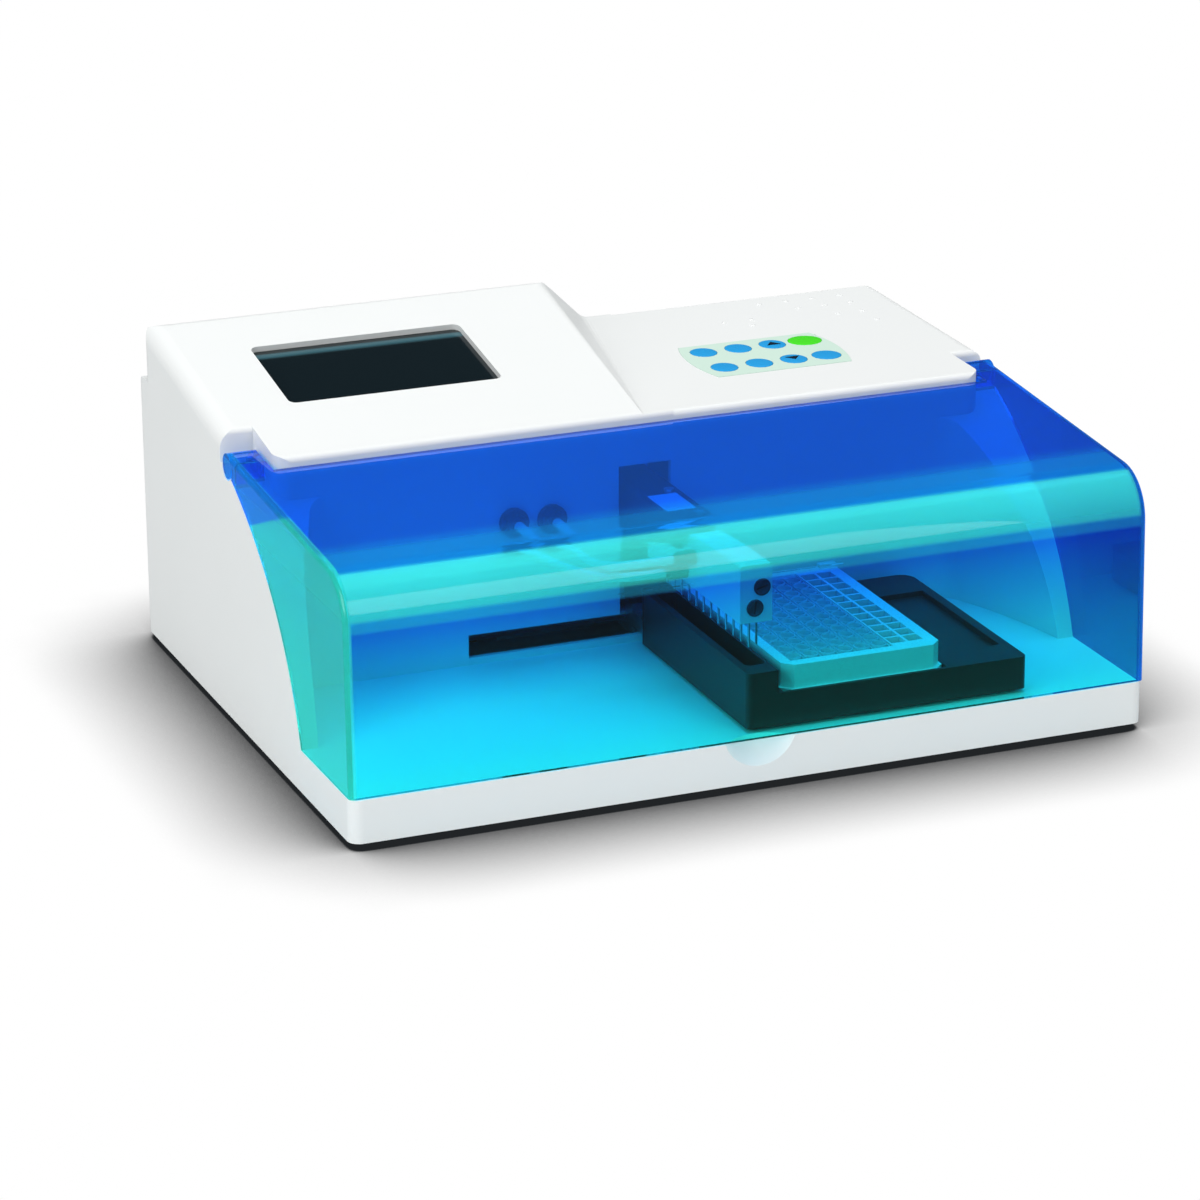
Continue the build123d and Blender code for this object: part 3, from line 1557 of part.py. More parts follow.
def fitting(x, z):
    """Bulkhead fitting in the chamber's rear wall: collar and nut in front, lock nut and tail behind."""
    tube_start = waste_tube_points[0][1]
    collar_front = back_wall_y - fitting_collar
    lock_rear = chamber_wall_inner_y + fitting_lock_nut
    piece = bar((x, collar_front, z), (x, back_wall_y, z), fitting_radius)
    nut = Plane(origin=(x, collar_front, z), z_dir=(0, -1, 0)) * RegularPolygon(fitting_nut_radius, 6)
    piece += extrude(nut, collar_front - tube_start)
    piece += bar((x, back_wall_y, z), (x, chamber_wall_inner_y, z), fitting_body_radius)
    lock = Plane(origin=(x, chamber_wall_inner_y, z), z_dir=(0, 1, 0)) * RegularPolygon(fitting_radius, 6)
    piece += extrude(lock, fitting_lock_nut)
    return piece + bar((x, lock_rear, z), (x, chamber_wall_inner_y + fitting_tail, z), tube_radius)


def make_waste_bulkhead():
    """Left fitting, for the tube that carries the waste away."""
    return fitting(waste_fitting_x, waste_fitting_z)


def make_wash_bulkhead():
    """Right fitting, for the tube that brings the wash liquid."""
    return fitting(wash_fitting_x, wash_fitting_z)


def tube(name, points):
    """A soft tube along straight runs joined by arcs as large as the runs allow."""
    corners = [Vector(*p) for p in points]
    runs = [corners[i + 1] - corners[i] for i in range(len(corners) - 1)]
    radii = []
    for before, after in zip(runs, runs[1:]):
        half_turn = radians(before.get_angle(after)) / 2
        radii.append(arc_share * min(before.length, after.length) / tan(half_turn))
    path = FilletPolyline(*corners, radius=radii)
    section = Plane(origin=corners[0], z_dir=runs[0]) * RegularPolygon(tube_radius, tube_sides)
    solid = sweep(section, path=path)
    expected = section.area * path.length
    print(name, "radii", [round(r, 1) for r in radii], "length", round(path.length, 1),
          "volume share", round(solid.volume / expected, 4))
    return solid


def make_waste_tube():
    """Tube from the left fitting to the lower connector."""
    return tube("waste_tube", waste_tube_points)


def make_wash_tube():
    """Tube from the right fitting to the upper connector."""
    return tube("wash_tube", wash_tube_points)


# Boards, supply and pumps

def make_main_board():
    """Main circuit board on standoffs, with chips and a row of sockets."""
    left = main_board_left
    right = left + main_board_width
    front = main_board_front_y
    rear = front + main_board_length
    board_z = plate_top_z + standoff_height
    top = board_z + board_thickness
    board = box(left, right, front, rear, board_z, top)
    for x in (left + 2 * standoff_radius, right - 2 * standoff_radius):
        for y in (front + 2 * standoff_radius, rear - 2 * standoff_radius):
            board += small_bar((x, y, plate_top_z), (x, y, board_z), standoff_radius)
    for share in (1, 3):
        x = left + main_board_width * share / 4
        y = (front + rear) / 2
        half = chip_size / 2
        board += box(x - half, x + half, y - half, y + half, top, top + chip_height)
    strip_rear = rear - socket_strip_inset
    strip_front = strip_rear - socket_strip_width
    return board + box(left + socket_strip_inset, right - socket_strip_inset, strip_front, strip_rear,
                       top, top + socket_strip_height)


def make_power_supply():
    """Cased power supply with cooling slots in its top."""
    left = supply_left
    right = left + supply_width
    front = supply_front_y
    rear = front + supply_length
    top = plate_top_z + supply_height
    case = box(left, right, front, rear, plate_top_z, top)
    pitch = supply_width / supply_slot_count
    for index in range(supply_slot_count):
        x = left + index * pitch + pitch / 2
        case -= box(x - supply_slot_width / 2, x + supply_slot_width / 2, front + supply_slot_margin,
                    rear - supply_slot_margin, top - supply_slot_depth, top)
    return case


def pump(left, y):
    """Small diaphragm pump lying on its foot: round motor, square head and two ports."""
    axis_z = plate_top_z + pump_foot_thickness + pump_head_size / 2
    motor_end = left + pump_motor_length
    head_end = motor_end + pump_head_width
    half = pump_head_size / 2
    body = bar((left, y, axis_z), (motor_end, y, axis_z), pump_motor_radius)
    body += box(motor_end, head_end, y - half, y + half, axis_z - half, axis_z + half)
    body += box(left, head_end, y - half, y + half, plate_top_z, plate_top_z + pump_foot_thickness)
    body += box(left, left + pump_foot_thickness, y - half, y + half, plate_top_z, axis_z)
    for sign in (-1, 1):
        port_y = y + sign * half / 2
        foot = (motor_end + pump_head_width / 2, port_y, axis_z + half)
        tip = (motor_end + pump_head_width / 2, port_y, axis_z + half + pump_port_length)
        body += small_bar(foot, tip, pump_port_radius)
    return body


def make_wash_pump():
    """Pump that feeds the dispensing needles."""
    return pump(wash_pump_left, wash_pump_y)


def make_vacuum_pump():
    """Pump that draws the wells empty."""
    return pump(vacuum_pump_left, vacuum_pump_y)


def make_solenoid_valve():
    """Pinch valve: a square body with a round coil on top."""
    half = valve_block / 2
    block_top = plate_top_z + valve_block
    body = box(valve_x - half, valve_x + half, valve_y - half, valve_y + half, plate_top_z, block_top)
    coil_top = (valve_x, valve_y, block_top + valve_coil_height)
    body += bar((valve_x, valve_y, block_top), coil_top, valve_coil_radius)
    for sign in (-1, 1):
        middle_z = plate_top_z + valve_block / 2
        tip = (valve_x + sign * (half + pump_port_length), valve_y, middle_z)
        body += small_bar((valve_x + sign * half, valve_y, middle_z), tip, pump_port_radius)
    return body


def build_nodes():
    """Every node of the washer, by name."""
    nodes = {
        "housing_shell": make_housing_shell(),
        "base_plate": make_base_plate(),
        "rubber_feet": make_rubber_feet(),
        "base_screws": make_base_screws(),
        "rear_panel": make_rear_panel(),
        "rear_screws": make_rear_screws(),
        "mains_inlet": make_mains_inlet(),
        "power_rocker": make_power_rocker(),
        "hose_ports": make_hose_ports(),
        "lcd_window": make_lcd_window(),
        "lcd_module": make_lcd_module(),
        "keypad_overlay": make_keypad_overlay(),
        "keypad_board": make_keypad_board(),
        "splash_cover": make_splash_cover(),
        "hinge_pins": make_hinge_pins(),
        "plate_frame": make_plate_frame(),
        "well_strips": make_well_strips(),
        "plate_carrier": make_plate_carrier(),
        "carrier_arm": make_carrier_arm(),
        "x_slide_block": make_x_slide_block(),
        "x_guide_rods": make_x_guide_rods(),
        "x_rod_blocks": make_x_rod_blocks(),
        "x_motor": make_x_motor(),
        "motor_pulley": make_motor_pulley(),
        "idler_pulley": make_idler_pulley(),
        "idler_bracket": make_idler_bracket(),
        "drive_belt": make_drive_belt(),
        "position_sensors": make_position_sensors(),
        "wash_manifold": make_wash_manifold(),
        "manifold_plugs": make_manifold_plugs(),
        "dispense_needles": make_dispense_needles(),
        "aspirate_needles": make_aspirate_needles(),
        "head_barbs": make_head_barbs(),
        "head_arm": make_head_arm(),
        "arm_screws": make_arm_screws(),
        "lift_block": make_lift_block(),
        "lift_nut": make_lift_nut(),
        "lift_screw": make_lift_screw(),
        "lift_frame": make_lift_frame(),
        "z_guide_rods": make_z_guide_rods(),
        "z_motor": make_z_motor(),
        "waste_bulkhead": make_waste_bulkhead(),
        "wash_bulkhead": make_wash_bulkhead(),
        "waste_tube": make_waste_tube(),
        "wash_tube": make_wash_tube(),
        "main_board": make_main_board(),
        "power_supply": make_power_supply(),
        "wash_pump": make_wash_pump(),
        "vacuum_pump": make_vacuum_pump(),
        "solenoid_valve": make_solenoid_valve(),
    }
    for number, place in enumerate(key_places(), start=1):
        nodes[f"key_{number}"] = make_key(place)
    return nodes


washer = build_nodes()
boxes = [shape.bounding_box() for shape in washer.values()]
front_end = min(b.min.Y for b in boxes)
rear_end = max(b.max.Y for b in boxes)
to_origin = Location((0, -(front_end + rear_end) / 2, 0))
print("moved towards the front by", round((front_end + rear_end) / 2, 4))
os.makedirs("parts", exist_ok=True)
for name, shape in washer.items():
    export_step(to_origin * shape, f"parts/{name}.step")
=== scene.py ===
import math
import bpy
import numpy as np
from mathutils import Euler, Matrix, Vector


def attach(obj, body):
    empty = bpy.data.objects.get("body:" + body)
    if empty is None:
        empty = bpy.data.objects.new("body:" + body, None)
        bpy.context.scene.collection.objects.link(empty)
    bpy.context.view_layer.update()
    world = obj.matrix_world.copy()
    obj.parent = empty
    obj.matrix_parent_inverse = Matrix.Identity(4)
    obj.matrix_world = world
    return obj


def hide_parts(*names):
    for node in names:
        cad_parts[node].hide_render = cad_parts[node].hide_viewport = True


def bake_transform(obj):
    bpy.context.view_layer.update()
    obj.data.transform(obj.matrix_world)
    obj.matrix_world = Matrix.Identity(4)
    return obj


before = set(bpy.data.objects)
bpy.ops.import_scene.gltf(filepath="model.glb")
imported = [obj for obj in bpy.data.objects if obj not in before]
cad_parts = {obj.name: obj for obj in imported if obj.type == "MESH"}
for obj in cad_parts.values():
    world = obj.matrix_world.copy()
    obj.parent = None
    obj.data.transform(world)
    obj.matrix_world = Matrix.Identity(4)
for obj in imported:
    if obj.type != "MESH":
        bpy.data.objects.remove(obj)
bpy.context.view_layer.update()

scene = bpy.context.scene

# Camera
# A studio camera with a long lens stands in front of the washer, to its left and above it.
# Its place is in metres, and its turns in radians were fitted to the housing's straight edges.

camera_place = (-0.83378, -2.03811, 0.81455)
camera_yaw = -0.38267110
camera_pitch = 0.33785205
camera_roll = -0.00568395
lens_mm = 139.38
sensor_mm = 36.0
camera_data = bpy.data.cameras.new("camera")
camera_data.lens = lens_mm
camera_data.sensor_width = sensor_mm
camera = bpy.data.objects.new("camera", camera_data)
camera.matrix_world = (
    Matrix.Translation(camera_place)
    @ Euler((0, 0, camera_yaw)).to_matrix().to_4x4()
    @ Euler((math.pi / 2 - camera_pitch, 0, 0)).to_matrix().to_4x4()
    @ Euler((0, 0, camera_roll)).to_matrix().to_4x4()
)
scene.collection.objects.link(camera)
scene.camera = camera
scene.view_settings.view_transform = "Standard"

# Floor
# A plain white studio floor, painted and matt. The camera sees it glow evenly, with a painted shadow
# close to the washer: its glow falls off by how much of each spot is closed in. Mirroring parts see it
# dimmer.


def grain_group():
    """Node group for fine surface grain: two noise values and the normal that the finer one bends."""
    group = bpy.data.node_groups.new("surface_grain", "ShaderNodeTree")
    for socket_name in ("Scale", "Relief"):
        group.interface.new_socket(socket_name, in_out="INPUT", socket_type="NodeSocketFloat")
    for socket_name in ("Fine", "Broad"):
        group.interface.new_socket(socket_name, in_out="OUTPUT", socket_type="NodeSocketFloat")
    group.interface.new_socket("Normal", in_out="OUTPUT", socket_type="NodeSocketVector")
    nodes, links = group.nodes, group.links
    entry = nodes.new("NodeGroupInput")
    leave = nodes.new("NodeGroupOutput")
    where = nodes.new("ShaderNodeTexCoord")
    fine = nodes.new("ShaderNodeTexNoise")
    fine.inputs["Detail"].default_value = 3.0
    broad = nodes.new("ShaderNodeTexNoise")
    broad.inputs["Scale"].default_value = 14.0
    broad.inputs["Detail"].default_value = 2.0
    bump = nodes.new("ShaderNodeBump")
    bump.inputs["Distance"].default_value = 0.00008
    links.new(where.outputs["Object"], fine.inputs["Vector"])
    links.new(where.outputs["Object"], broad.inputs["Vector"])
    links.new(entry.outputs["Scale"], fine.inputs["Scale"])
    links.new(entry.outputs["Relief"], bump.inputs["Strength"])
    links.new(fine.outputs["Fac"], bump.inputs["Height"])
    links.new(fine.outputs["Fac"], leave.inputs["Fine"])
    links.new(broad.outputs["Fac"], leave.inputs["Broad"])
    links.new(bump.outputs["Normal"], leave.inputs["Normal"])
    return group


surface_grain = grain_group()


def add_grain(material, scale, relief):
    """The grain group inside a material, at one scale and relief."""
    grain = material.node_tree.nodes.new("ShaderNodeGroup")
    grain.node_tree = surface_grain
    grain.inputs["Scale"].default_value = scale
    grain.inputs["Relief"].default_value = relief
    return grain


def new_material(name):
    """A node material and its nodes, links and principled shader."""
    material = bpy.data.materials.new(name)
    material.use_nodes = True
    nodes = material.node_tree.nodes
    return material, nodes, material.node_tree.links, nodes["Principled BSDF"]


def colour_ramp(nodes, *marks):
    """A ramp node that goes straight from each mark, a position and a colour, to the next."""
    ramp = nodes.new("ShaderNodeValToRGB")
    steps = ramp.color_ramp.elements
    for step, (position, colour) in zip(steps, (marks[0], marks[-1])):
        step.position = position
        step.color = (*colour, 1)
    for position, colour in marks[1:-1]:
        steps.new(position).color = (*colour, 1)
    return ramp


def straight_rays(nodes, links):
    """The light path node, and a value of 1 for rays that come from the camera or through a clear sheet."""
    rays = nodes.new("ShaderNodeLightPath")
    straight = nodes.new("ShaderNodeMath")
    straight.operation = "MAXIMUM"
    links.new(rays.outputs["Is Camera Ray"], straight.inputs[0])
    links.new(rays.outputs["Is Transmission Ray"], straight.inputs[1])
    return rays, straight.outputs["Value"]


def new_piece(name, vertices, faces, material, smooth=True):
    """A mesh at the origin, with smooth or flat faces."""
    mesh = bpy.data.meshes.new(name)
    mesh.from_pydata(np.asarray(vertices).tolist(), [], faces)
    mesh.materials.append(material)
    mesh.polygons.foreach_set("use_smooth", [smooth] * len(mesh.polygons))
    mesh.update()
    piece = bpy.data.objects.new(name, mesh)
    scene.collection.objects.link(piece)
    return piece


floor_half = 6.0
floor_paint = (0.88, 0.89, 0.89, 1)
floor_roughness = 0.9
mirrored_floor = (0.12, 0.13, 0.14, 1)
shadow_reach = 0.088
shadow_samples = 32
closed_in, open_wide = 0.45, 0.97
contact_shade = (0.016, 0.018, 0.020)
clear_white = (1.0, 1.0, 1.0)
floor_material, nodes, links, shader = new_material("studio_floor")
shader.inputs["Base Color"].default_value = floor_paint
shader.inputs["Roughness"].default_value = floor_roughness
grain = add_grain(floor_material, scale=200.0, relief=0.02)
# Painted shadow: the glow is darkened by how closed in each spot is, near black at the washer's foot.
hollow = nodes.new("ShaderNodeAmbientOcclusion")
hollow.samples = shadow_samples
hollow.inputs["Distance"].default_value = shadow_reach
shadow = colour_ramp(nodes, (closed_in, contact_shade), (open_wide, clear_white))
glow = nodes.new("ShaderNodeEmission")
dim_glow = nodes.new("ShaderNodeEmission")
dim_glow.inputs["Color"].default_value = mirrored_floor
rays, straight = straight_rays(nodes, links)
lit_or_seen = nodes.new("ShaderNodeMixShader")
seen_or_mirrored = nodes.new("ShaderNodeMixShader")
links.new(grain.outputs["Normal"], shader.inputs["Normal"])
links.new(hollow.outputs["AO"], shadow.inputs["Fac"])
links.new(shadow.outputs["Color"], glow.inputs["Color"])
links.new(straight, lit_or_seen.inputs["Fac"])
links.new(shader.outputs["BSDF"], lit_or_seen.inputs[1])
links.new(glow.outputs["Emission"], lit_or_seen.inputs[2])
links.new(rays.outputs["Is Glossy Ray"], seen_or_mirrored.inputs["Fac"])
links.new(lit_or_seen.outputs["Shader"], seen_or_mirrored.inputs[1])
links.new(dim_glow.outputs["Emission"], seen_or_mirrored.inputs[2])
links.new(seen_or_mirrored.outputs["Shader"], nodes["Material Output"].inputs["Surface"])
floor = new_piece(
    "studio_floor",
    [(-floor_half, -floor_half, 0), (floor_half, -floor_half, 0),
     (floor_half, floor_half, 0), (-floor_half, floor_half, 0)],
    [(0, 1, 2, 3)], floor_material, False,
)

# Studio light
# A pale room and three square soft boxes on stands, above, at the left and in front of the washer.
# Shiny parts see a dimmer room than matt ones do, and no soft box from above.


def value_range(nodes, from_low=0.0, from_high=1.0, to_low=0.0, to_high=1.0):
    """A node that takes one span of values straight over to another, and stops at its ends."""
    span = nodes.new("ShaderNodeMapRange")
    span.inputs["From Min"].default_value = from_low
    span.inputs["From Max"].default_value = from_high
    span.inputs["To Min"].default_value = to_low
    span.inputs["To Max"].default_value = to_high
    return span


room_light = 0.46
room_seen = 1.0
room_mirrored = 0.05
room = bpy.data.worlds.new("studio")
room.use_nodes = True
nodes, links = room.node_tree.nodes, room.node_tree.links
background = nodes["Background"]
background.inputs["Color"].default_value = (*clear_white, 1)
rays, straight = straight_rays(nodes, links)
level = value_range(nodes, to_low=room_light, to_high=room_seen)
shine = value_range(nodes, to_high=room_mirrored)
links.new(straight, level.inputs["Value"])
links.new(rays.outputs["Is Glossy Ray"], shine.inputs["Value"])
links.new(level.outputs["Result"], shine.inputs["To Min"])
links.new(shine.outputs["Result"], background.inputs["Strength"])
scene.world = room

light_aim = Vector((0, 0, 0.08))
soft_boxes = (
    ("top_light", (0.25, 0.35, 2.3), 1.8, 34.5),
    ("left_light", (-2.0, -0.7, 1.1), 1.4, 19.0),
    ("front_light", (0.5, -2.0, 1.3), 1.2, 8.0),
)
for light_name, light_place, light_size, light_power in soft_boxes:
    light_data = bpy.data.lights.new(light_name, "AREA")
    light_data.shape = "SQUARE"
    light_data.size = light_size
    light_data.energy = light_power
    light = bpy.data.objects.new(light_name, light_data)
    light.location = light_place
    light.visible_glossy = light_name != "top_light"
    light.rotation_mode = "QUATERNION"
    light.rotation_quaternion = (light_aim - light.location).to_track_quat("-Z", "Y")
    scene.collection.objects.link(light)

# Housing
# One white plastic moulding: the plinth, the wash chamber with its curved cheeks, the deck and the
# raised console. Its outside has a very fine spark texture, and it is screwed to the base plate.

mm = 0.001
front_shift = 168.2199
roughness_sway = 0.05


def place(x, y, z):
    """A point in the row frame, from millimetres with y measured back from the plinth's front."""
    return Vector((x * mm, (y - front_shift) * mm, z * mm))


def colour_mix(nodes, first=clear_white, second=clear_white):
    """A node that mixes two colours by its factor."""
    mix = nodes.new("ShaderNodeMix")
    mix.data_type = "RGBA"
    mix.inputs["A"].default_value = (*first, 1)
    mix.inputs["B"].default_value = (*second, 1)
    return mix


def plain_finish(name, colour, shade, roughness, metallic=0.0, scale=900.0, relief=0.15):
    """A finish between two close colours, with a grain in its colour, roughness and bump."""
    material, nodes, links, shader = new_material(name)
    grain = add_grain(material, scale, relief)
    mix = colour_mix(nodes, colour, shade)
    sway = value_range(nodes, to_low=roughness - roughness_sway, to_high=roughness + roughness_sway)
    links.new(grain.outputs["Broad"], mix.inputs["Factor"])
    links.new(mix.outputs["Result"], shader.inputs["Base Color"])
    links.new(grain.outputs["Fine"], sway.inputs["Value"])
    links.new(sway.outputs["Result"], shader.inputs["Roughness"])
    links.new(grain.outputs["Normal"], shader.inputs["Normal"])
    shader.inputs["Metallic"].default_value = metallic
    return material


def dress(material, *names):
    """The finish of CAD nodes, given by their names."""
    for name in names:
        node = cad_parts[name]
        node.data.materials.clear()
        node.data.materials.append(material)


white_plastic = plain_finish("white_plastic", (0.84, 0.86, 0.86), (0.82, 0.845, 0.84), 0.4, relief=0.12)
dress(white_plastic, "housing_shell")

# Raised dots on the deck
# Small round dots mark the rear of the deck, in rows that shorten towards the front.
# They are moulded in one with the housing, from the same white plastic.

deck_front_y = 149.0
deck_front_z = 143.3
deck_slope = 0.017576
deck_tilt = math.atan(deck_slope)
dot_radius = 1.6
dot_height = 0.4
dot_sink = 0.2
dot_sides, dot_rings = 16, 4
dots = (
    (131.6, 300.5), (147.1, 300.5), (162.3, 300.5), (178.3, 300.5), (148.3, 287), (163.6, 287),
    (178.5, 287), (163.5, 270.5), (178.0, 270.5), (178.2, 253.4), (101.3, 276.6), (117.0, 276.9),
    (113.2, 267.2),
)


def deck_height(y):
    """Height of the deck in millimetres: z = z0 + s (y - y0)."""
    return deck_front_z + deck_slope * (y - deck_front_y)


def join(parts):
    """Several meshes' vertices and faces as one."""
    vertices, faces, count = [], [], 0
    for part_vertices, part_faces in parts:
        vertices.append(np.asarray(part_vertices))
        faces.extend(tuple(i + count for i in face) for face in part_faces)
        count += len(part_vertices)
    return np.concatenate(vertices), faces


def turned(profile, sides):
    """A profile of radii r and heights h turned about the z axis: p = (r cos t, r sin t, h)."""
    radius, height = np.array(profile).T[:, :, None]
    angle = np.arange(sides) * 2 * math.pi / sides
    rings = radius * np.cos(angle), radius * np.sin(angle), height + np.zeros(sides)
    return np.stack(rings, 2).reshape(-1, 3)


def ring_faces(rings, sides):
    """Quads between closed rings of points, with both ends shut."""
    faces = [
        (r * sides + c, r * sides + (c + 1) % sides, (r + 1) * sides + (c + 1) % sides, (r + 1) * sides + c)
        for r in range(rings - 1) for c in range(sides)
    ]
    last = (rings - 1) * sides
    return faces + [tuple(range(sides))[::-1], tuple(last + i for i in range(sides))]


def dome(centre, half_x, half_y, rise, sink, tilt, sides, rings):
    """An oval dome: z = rise cos(a), x = half_x sin(a) cos(t), y = half_y sin(a) sin(t), with a
    straight skirt below it and tilted about the x axis."""
    lift = (math.pi / 2) * (1 - np.arange(rings) / rings)
    reach = np.concatenate([[1.0], np.sin(lift)])
    height = np.concatenate([[-sink], rise * np.cos(lift)])
    points = turned(np.column_stack([reach, height]), sides) * (half_x, half_y, 1)
    turn = np.array(Matrix.Rotation(tilt, 3, "X"))
    return points @ turn.T * mm + np.array(place(*centre)), ring_faces(rings + 1, sides)


dot_form = (dot_radius, dot_radius, dot_height, dot_sink, deck_tilt, dot_sides, dot_rings)
dot_shapes = [dome((x, y, deck_height(y)), *dot_form) for x, y in dots]
deck_dots = new_piece("deck_dots", *join(dot_shapes), white_plastic)
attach(deck_dots, "base")

# Base and feet
# A painted steel plate closes the housing from below, held by six zinc-plated screws.
# Four rubber feet are fixed under it.

painted_sheet = plain_finish("painted_sheet", (0.62, 0.65, 0.65), (0.55, 0.58, 0.58), 0.5)
zinc = plain_finish("zinc", (0.62, 0.62, 0.60), (0.50, 0.50, 0.48), 0.35, metallic=1.0)
black_rubber = plain_finish("black_rubber", (0.012, 0.012, 0.013), (0.02, 0.02, 0.02), 0.75)
dress(painted_sheet, "base_plate")
dress(zinc, "base_screws")
dress(black_rubber, "rubber_feet")

# Rear panel
# A painted sheet steel panel is screwed to the housing's rear. It carries a black mains inlet with
# its rocker switch, and three pale plastic hose ports.

black_plastic = plain_finish("black_plastic", (0.004, 0.007, 0.007), (0.007, 0.011, 0.011), 0.4)
head_plastic = plain_finish("head_plastic", (0.90, 0.93, 0.94), (0.86, 0.89, 0.90), 0.35)
dress(painted_sheet, "rear_panel")
dress(zinc, "rear_screws")
dress(black_plastic, "mains_inlet", "power_rocker")
dress(head_plastic, "hose_ports")

# Boards, supply and pumps
# Two green circuit boards, a power supply in a painted case, two black pumps and a black valve
# are screwed down inside the housing, out of sight.

board_green = plain_finish("circuit_board", (0.02, 0.14, 0.05), (0.015, 0.10, 0.04), 0.45)
grey_case = plain_finish("supply_case", (0.40, 0.42, 0.43), (0.34, 0.36, 0.37), 0.5)
dress(board_green, "main_board", "keypad_board")
dress(grey_case, "power_supply")
dress(black_plastic, "wash_pump", "vacuum_pump", "solenoid_valve")

# Drive of the carrier
# A black motor pulls a rubber belt round two aluminium pulleys, and the belt moves a block along
# two steel rods. An aluminium arm joins the block to the carrier, and black sensors mark its ends.

steel = plain_finish("steel", (0.55, 0.56, 0.57), (0.45, 0.46, 0.48), 0.3, metallic=1.0)
aluminium = plain_finish("aluminium", (0.66, 0.67, 0.68), (0.58, 0.59, 0.60), 0.38, metallic=1.0)
dress(steel, "x_guide_rods", "idler_bracket")
dress(aluminium, "carrier_arm", "x_slide_block", "x_rod_blocks", "motor_pulley", "idler_pulley")
dress(black_plastic, "x_motor", "position_sensors")
dress(black_rubber, "drive_belt")

# Carrier
# A black moulded plastic tray with a rinse trough and a finger bay. It is fixed on its arm and
# slides under the wash head.

carrier_plastic = plain_finish("carrier_plastic", (0.006, 0.014, 0.014), (0.010, 0.020, 0.019), 0.45)
dress(carrier_plastic, "plate_carrier")

# Microplate
# A white polystyrene frame holds clear polystyrene strips of round wells, twelve in a strip.
# Both are moulded, the strips are pushed into the frame, and the plate lies in the carrier.

plate_plastic = plain_finish("plate_plastic", (0.80, 0.85, 0.87), (0.74, 0.80, 0.83), 0.28)
dress(plate_plastic, "plate_frame")

well_plastic = plain_finish("well_plastic", (0.50, 0.60, 0.68), (0.42, 0.52, 0.60), 0.2)
strip_count, row_count = 6, 12
well_sides = 32
well_first_x, well_first_y = 27.99, 26.52
well_pitch = 9.0
well_radius = 3.4
well_wall = 0.75
well_outer = well_radius + well_wall
well_rim_z = 55.3
well_floor_z = 45.2
well_edge = 0.15
link_half_thickness = 0.45
link_low_z = well_rim_z - 1.3
link_high_z = well_rim_z - 0.3
well_profile = (
    (well_radius, well_floor_z - well_wall),
    (well_outer - well_edge, well_floor_z + 1.2),
    (well_outer, well_rim_z - well_edge),
    (well_outer - well_edge, well_rim_z),
    (well_radius + well_edge, well_rim_z),
    (well_radius, well_rim_z - 0.2),
    (well_radius - well_edge, well_floor_z + 1.4),
    (well_radius * 0.7, well_floor_z + 0.4),
    (well_radius * 0.25, well_floor_z + 0.05),
)


def well_shape(x, y):
    """A round well turned about the vertical: outer wall, rim, inner wall and a bowl-shaped floor."""
    points = turned(well_profile, well_sides) + (x, y - front_shift, 0)
    return points * mm, ring_faces(len(well_profile), well_sides)


def bar_shape(x0, x1, y0, y1, z0, z1):
    """A straight box between two corners, in millimetres."""
    corners = [place(x, y, z) for z in (z0, z1) for y in (y0, y1) for x in (x0, x1)]
    return corners, [(0, 2, 3, 1), (4, 5, 7, 6), (0, 1, 5, 4), (2, 6, 7, 3), (0, 4, 6, 2), (1, 3, 7, 5)]


well_rows = [well_first_y + row * well_pitch for row in range(row_count)]
link_y0 = well_rows[0] - well_outer
link_y1 = well_rows[-1] + well_outer
strip_shapes = []
for strip in range(strip_count):
    strip_x = well_first_x + strip * well_pitch
    strip_shapes.extend(well_shape(strip_x, well_y) for well_y in well_rows)
    for side in (-1, 1):
        link_x = strip_x + side * (well_radius + well_wall / 2)
        strip_shapes.append(bar_shape(link_x - link_half_thickness, link_x + link_half_thickness,
                                      link_y0, link_y1, link_low_z, link_high_z))
wells = new_piece("round_wells", *join(strip_shapes), well_plastic)
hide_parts("well_strips")
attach(wells, "microplate")

# Lift of the wash head
# A black motor turns a steel screw, whose brass nut raises an aluminium block on two steel rods.
# All of it stands in a painted steel frame behind the chamber's wall.

brass = plain_finish("brass", (0.62, 0.44, 0.16), (0.50, 0.34, 0.12), 0.32, metallic=1.0)
dress(painted_sheet, "lift_frame")
dress(steel, "lift_screw", "z_guide_rods")
dress(aluminium, "lift_block")
dress(brass, "lift_nut")
dress(black_plastic, "z_motor")

# Wash head
# A pale moulded manifold with two rows of twelve steel needles is screwed under a black arm.
# Black barbed fittings take the tubes, two in the manifold and two in the chamber's wall.

dress(head_plastic, "wash_manifold")
dress(steel, "dispense_needles", "aspirate_needles")
dress(black_plastic, "head_arm", "head_barbs", "manifold_plugs", "waste_bulkhead", "wash_bulkhead")
dress(zinc, "arm_screws")
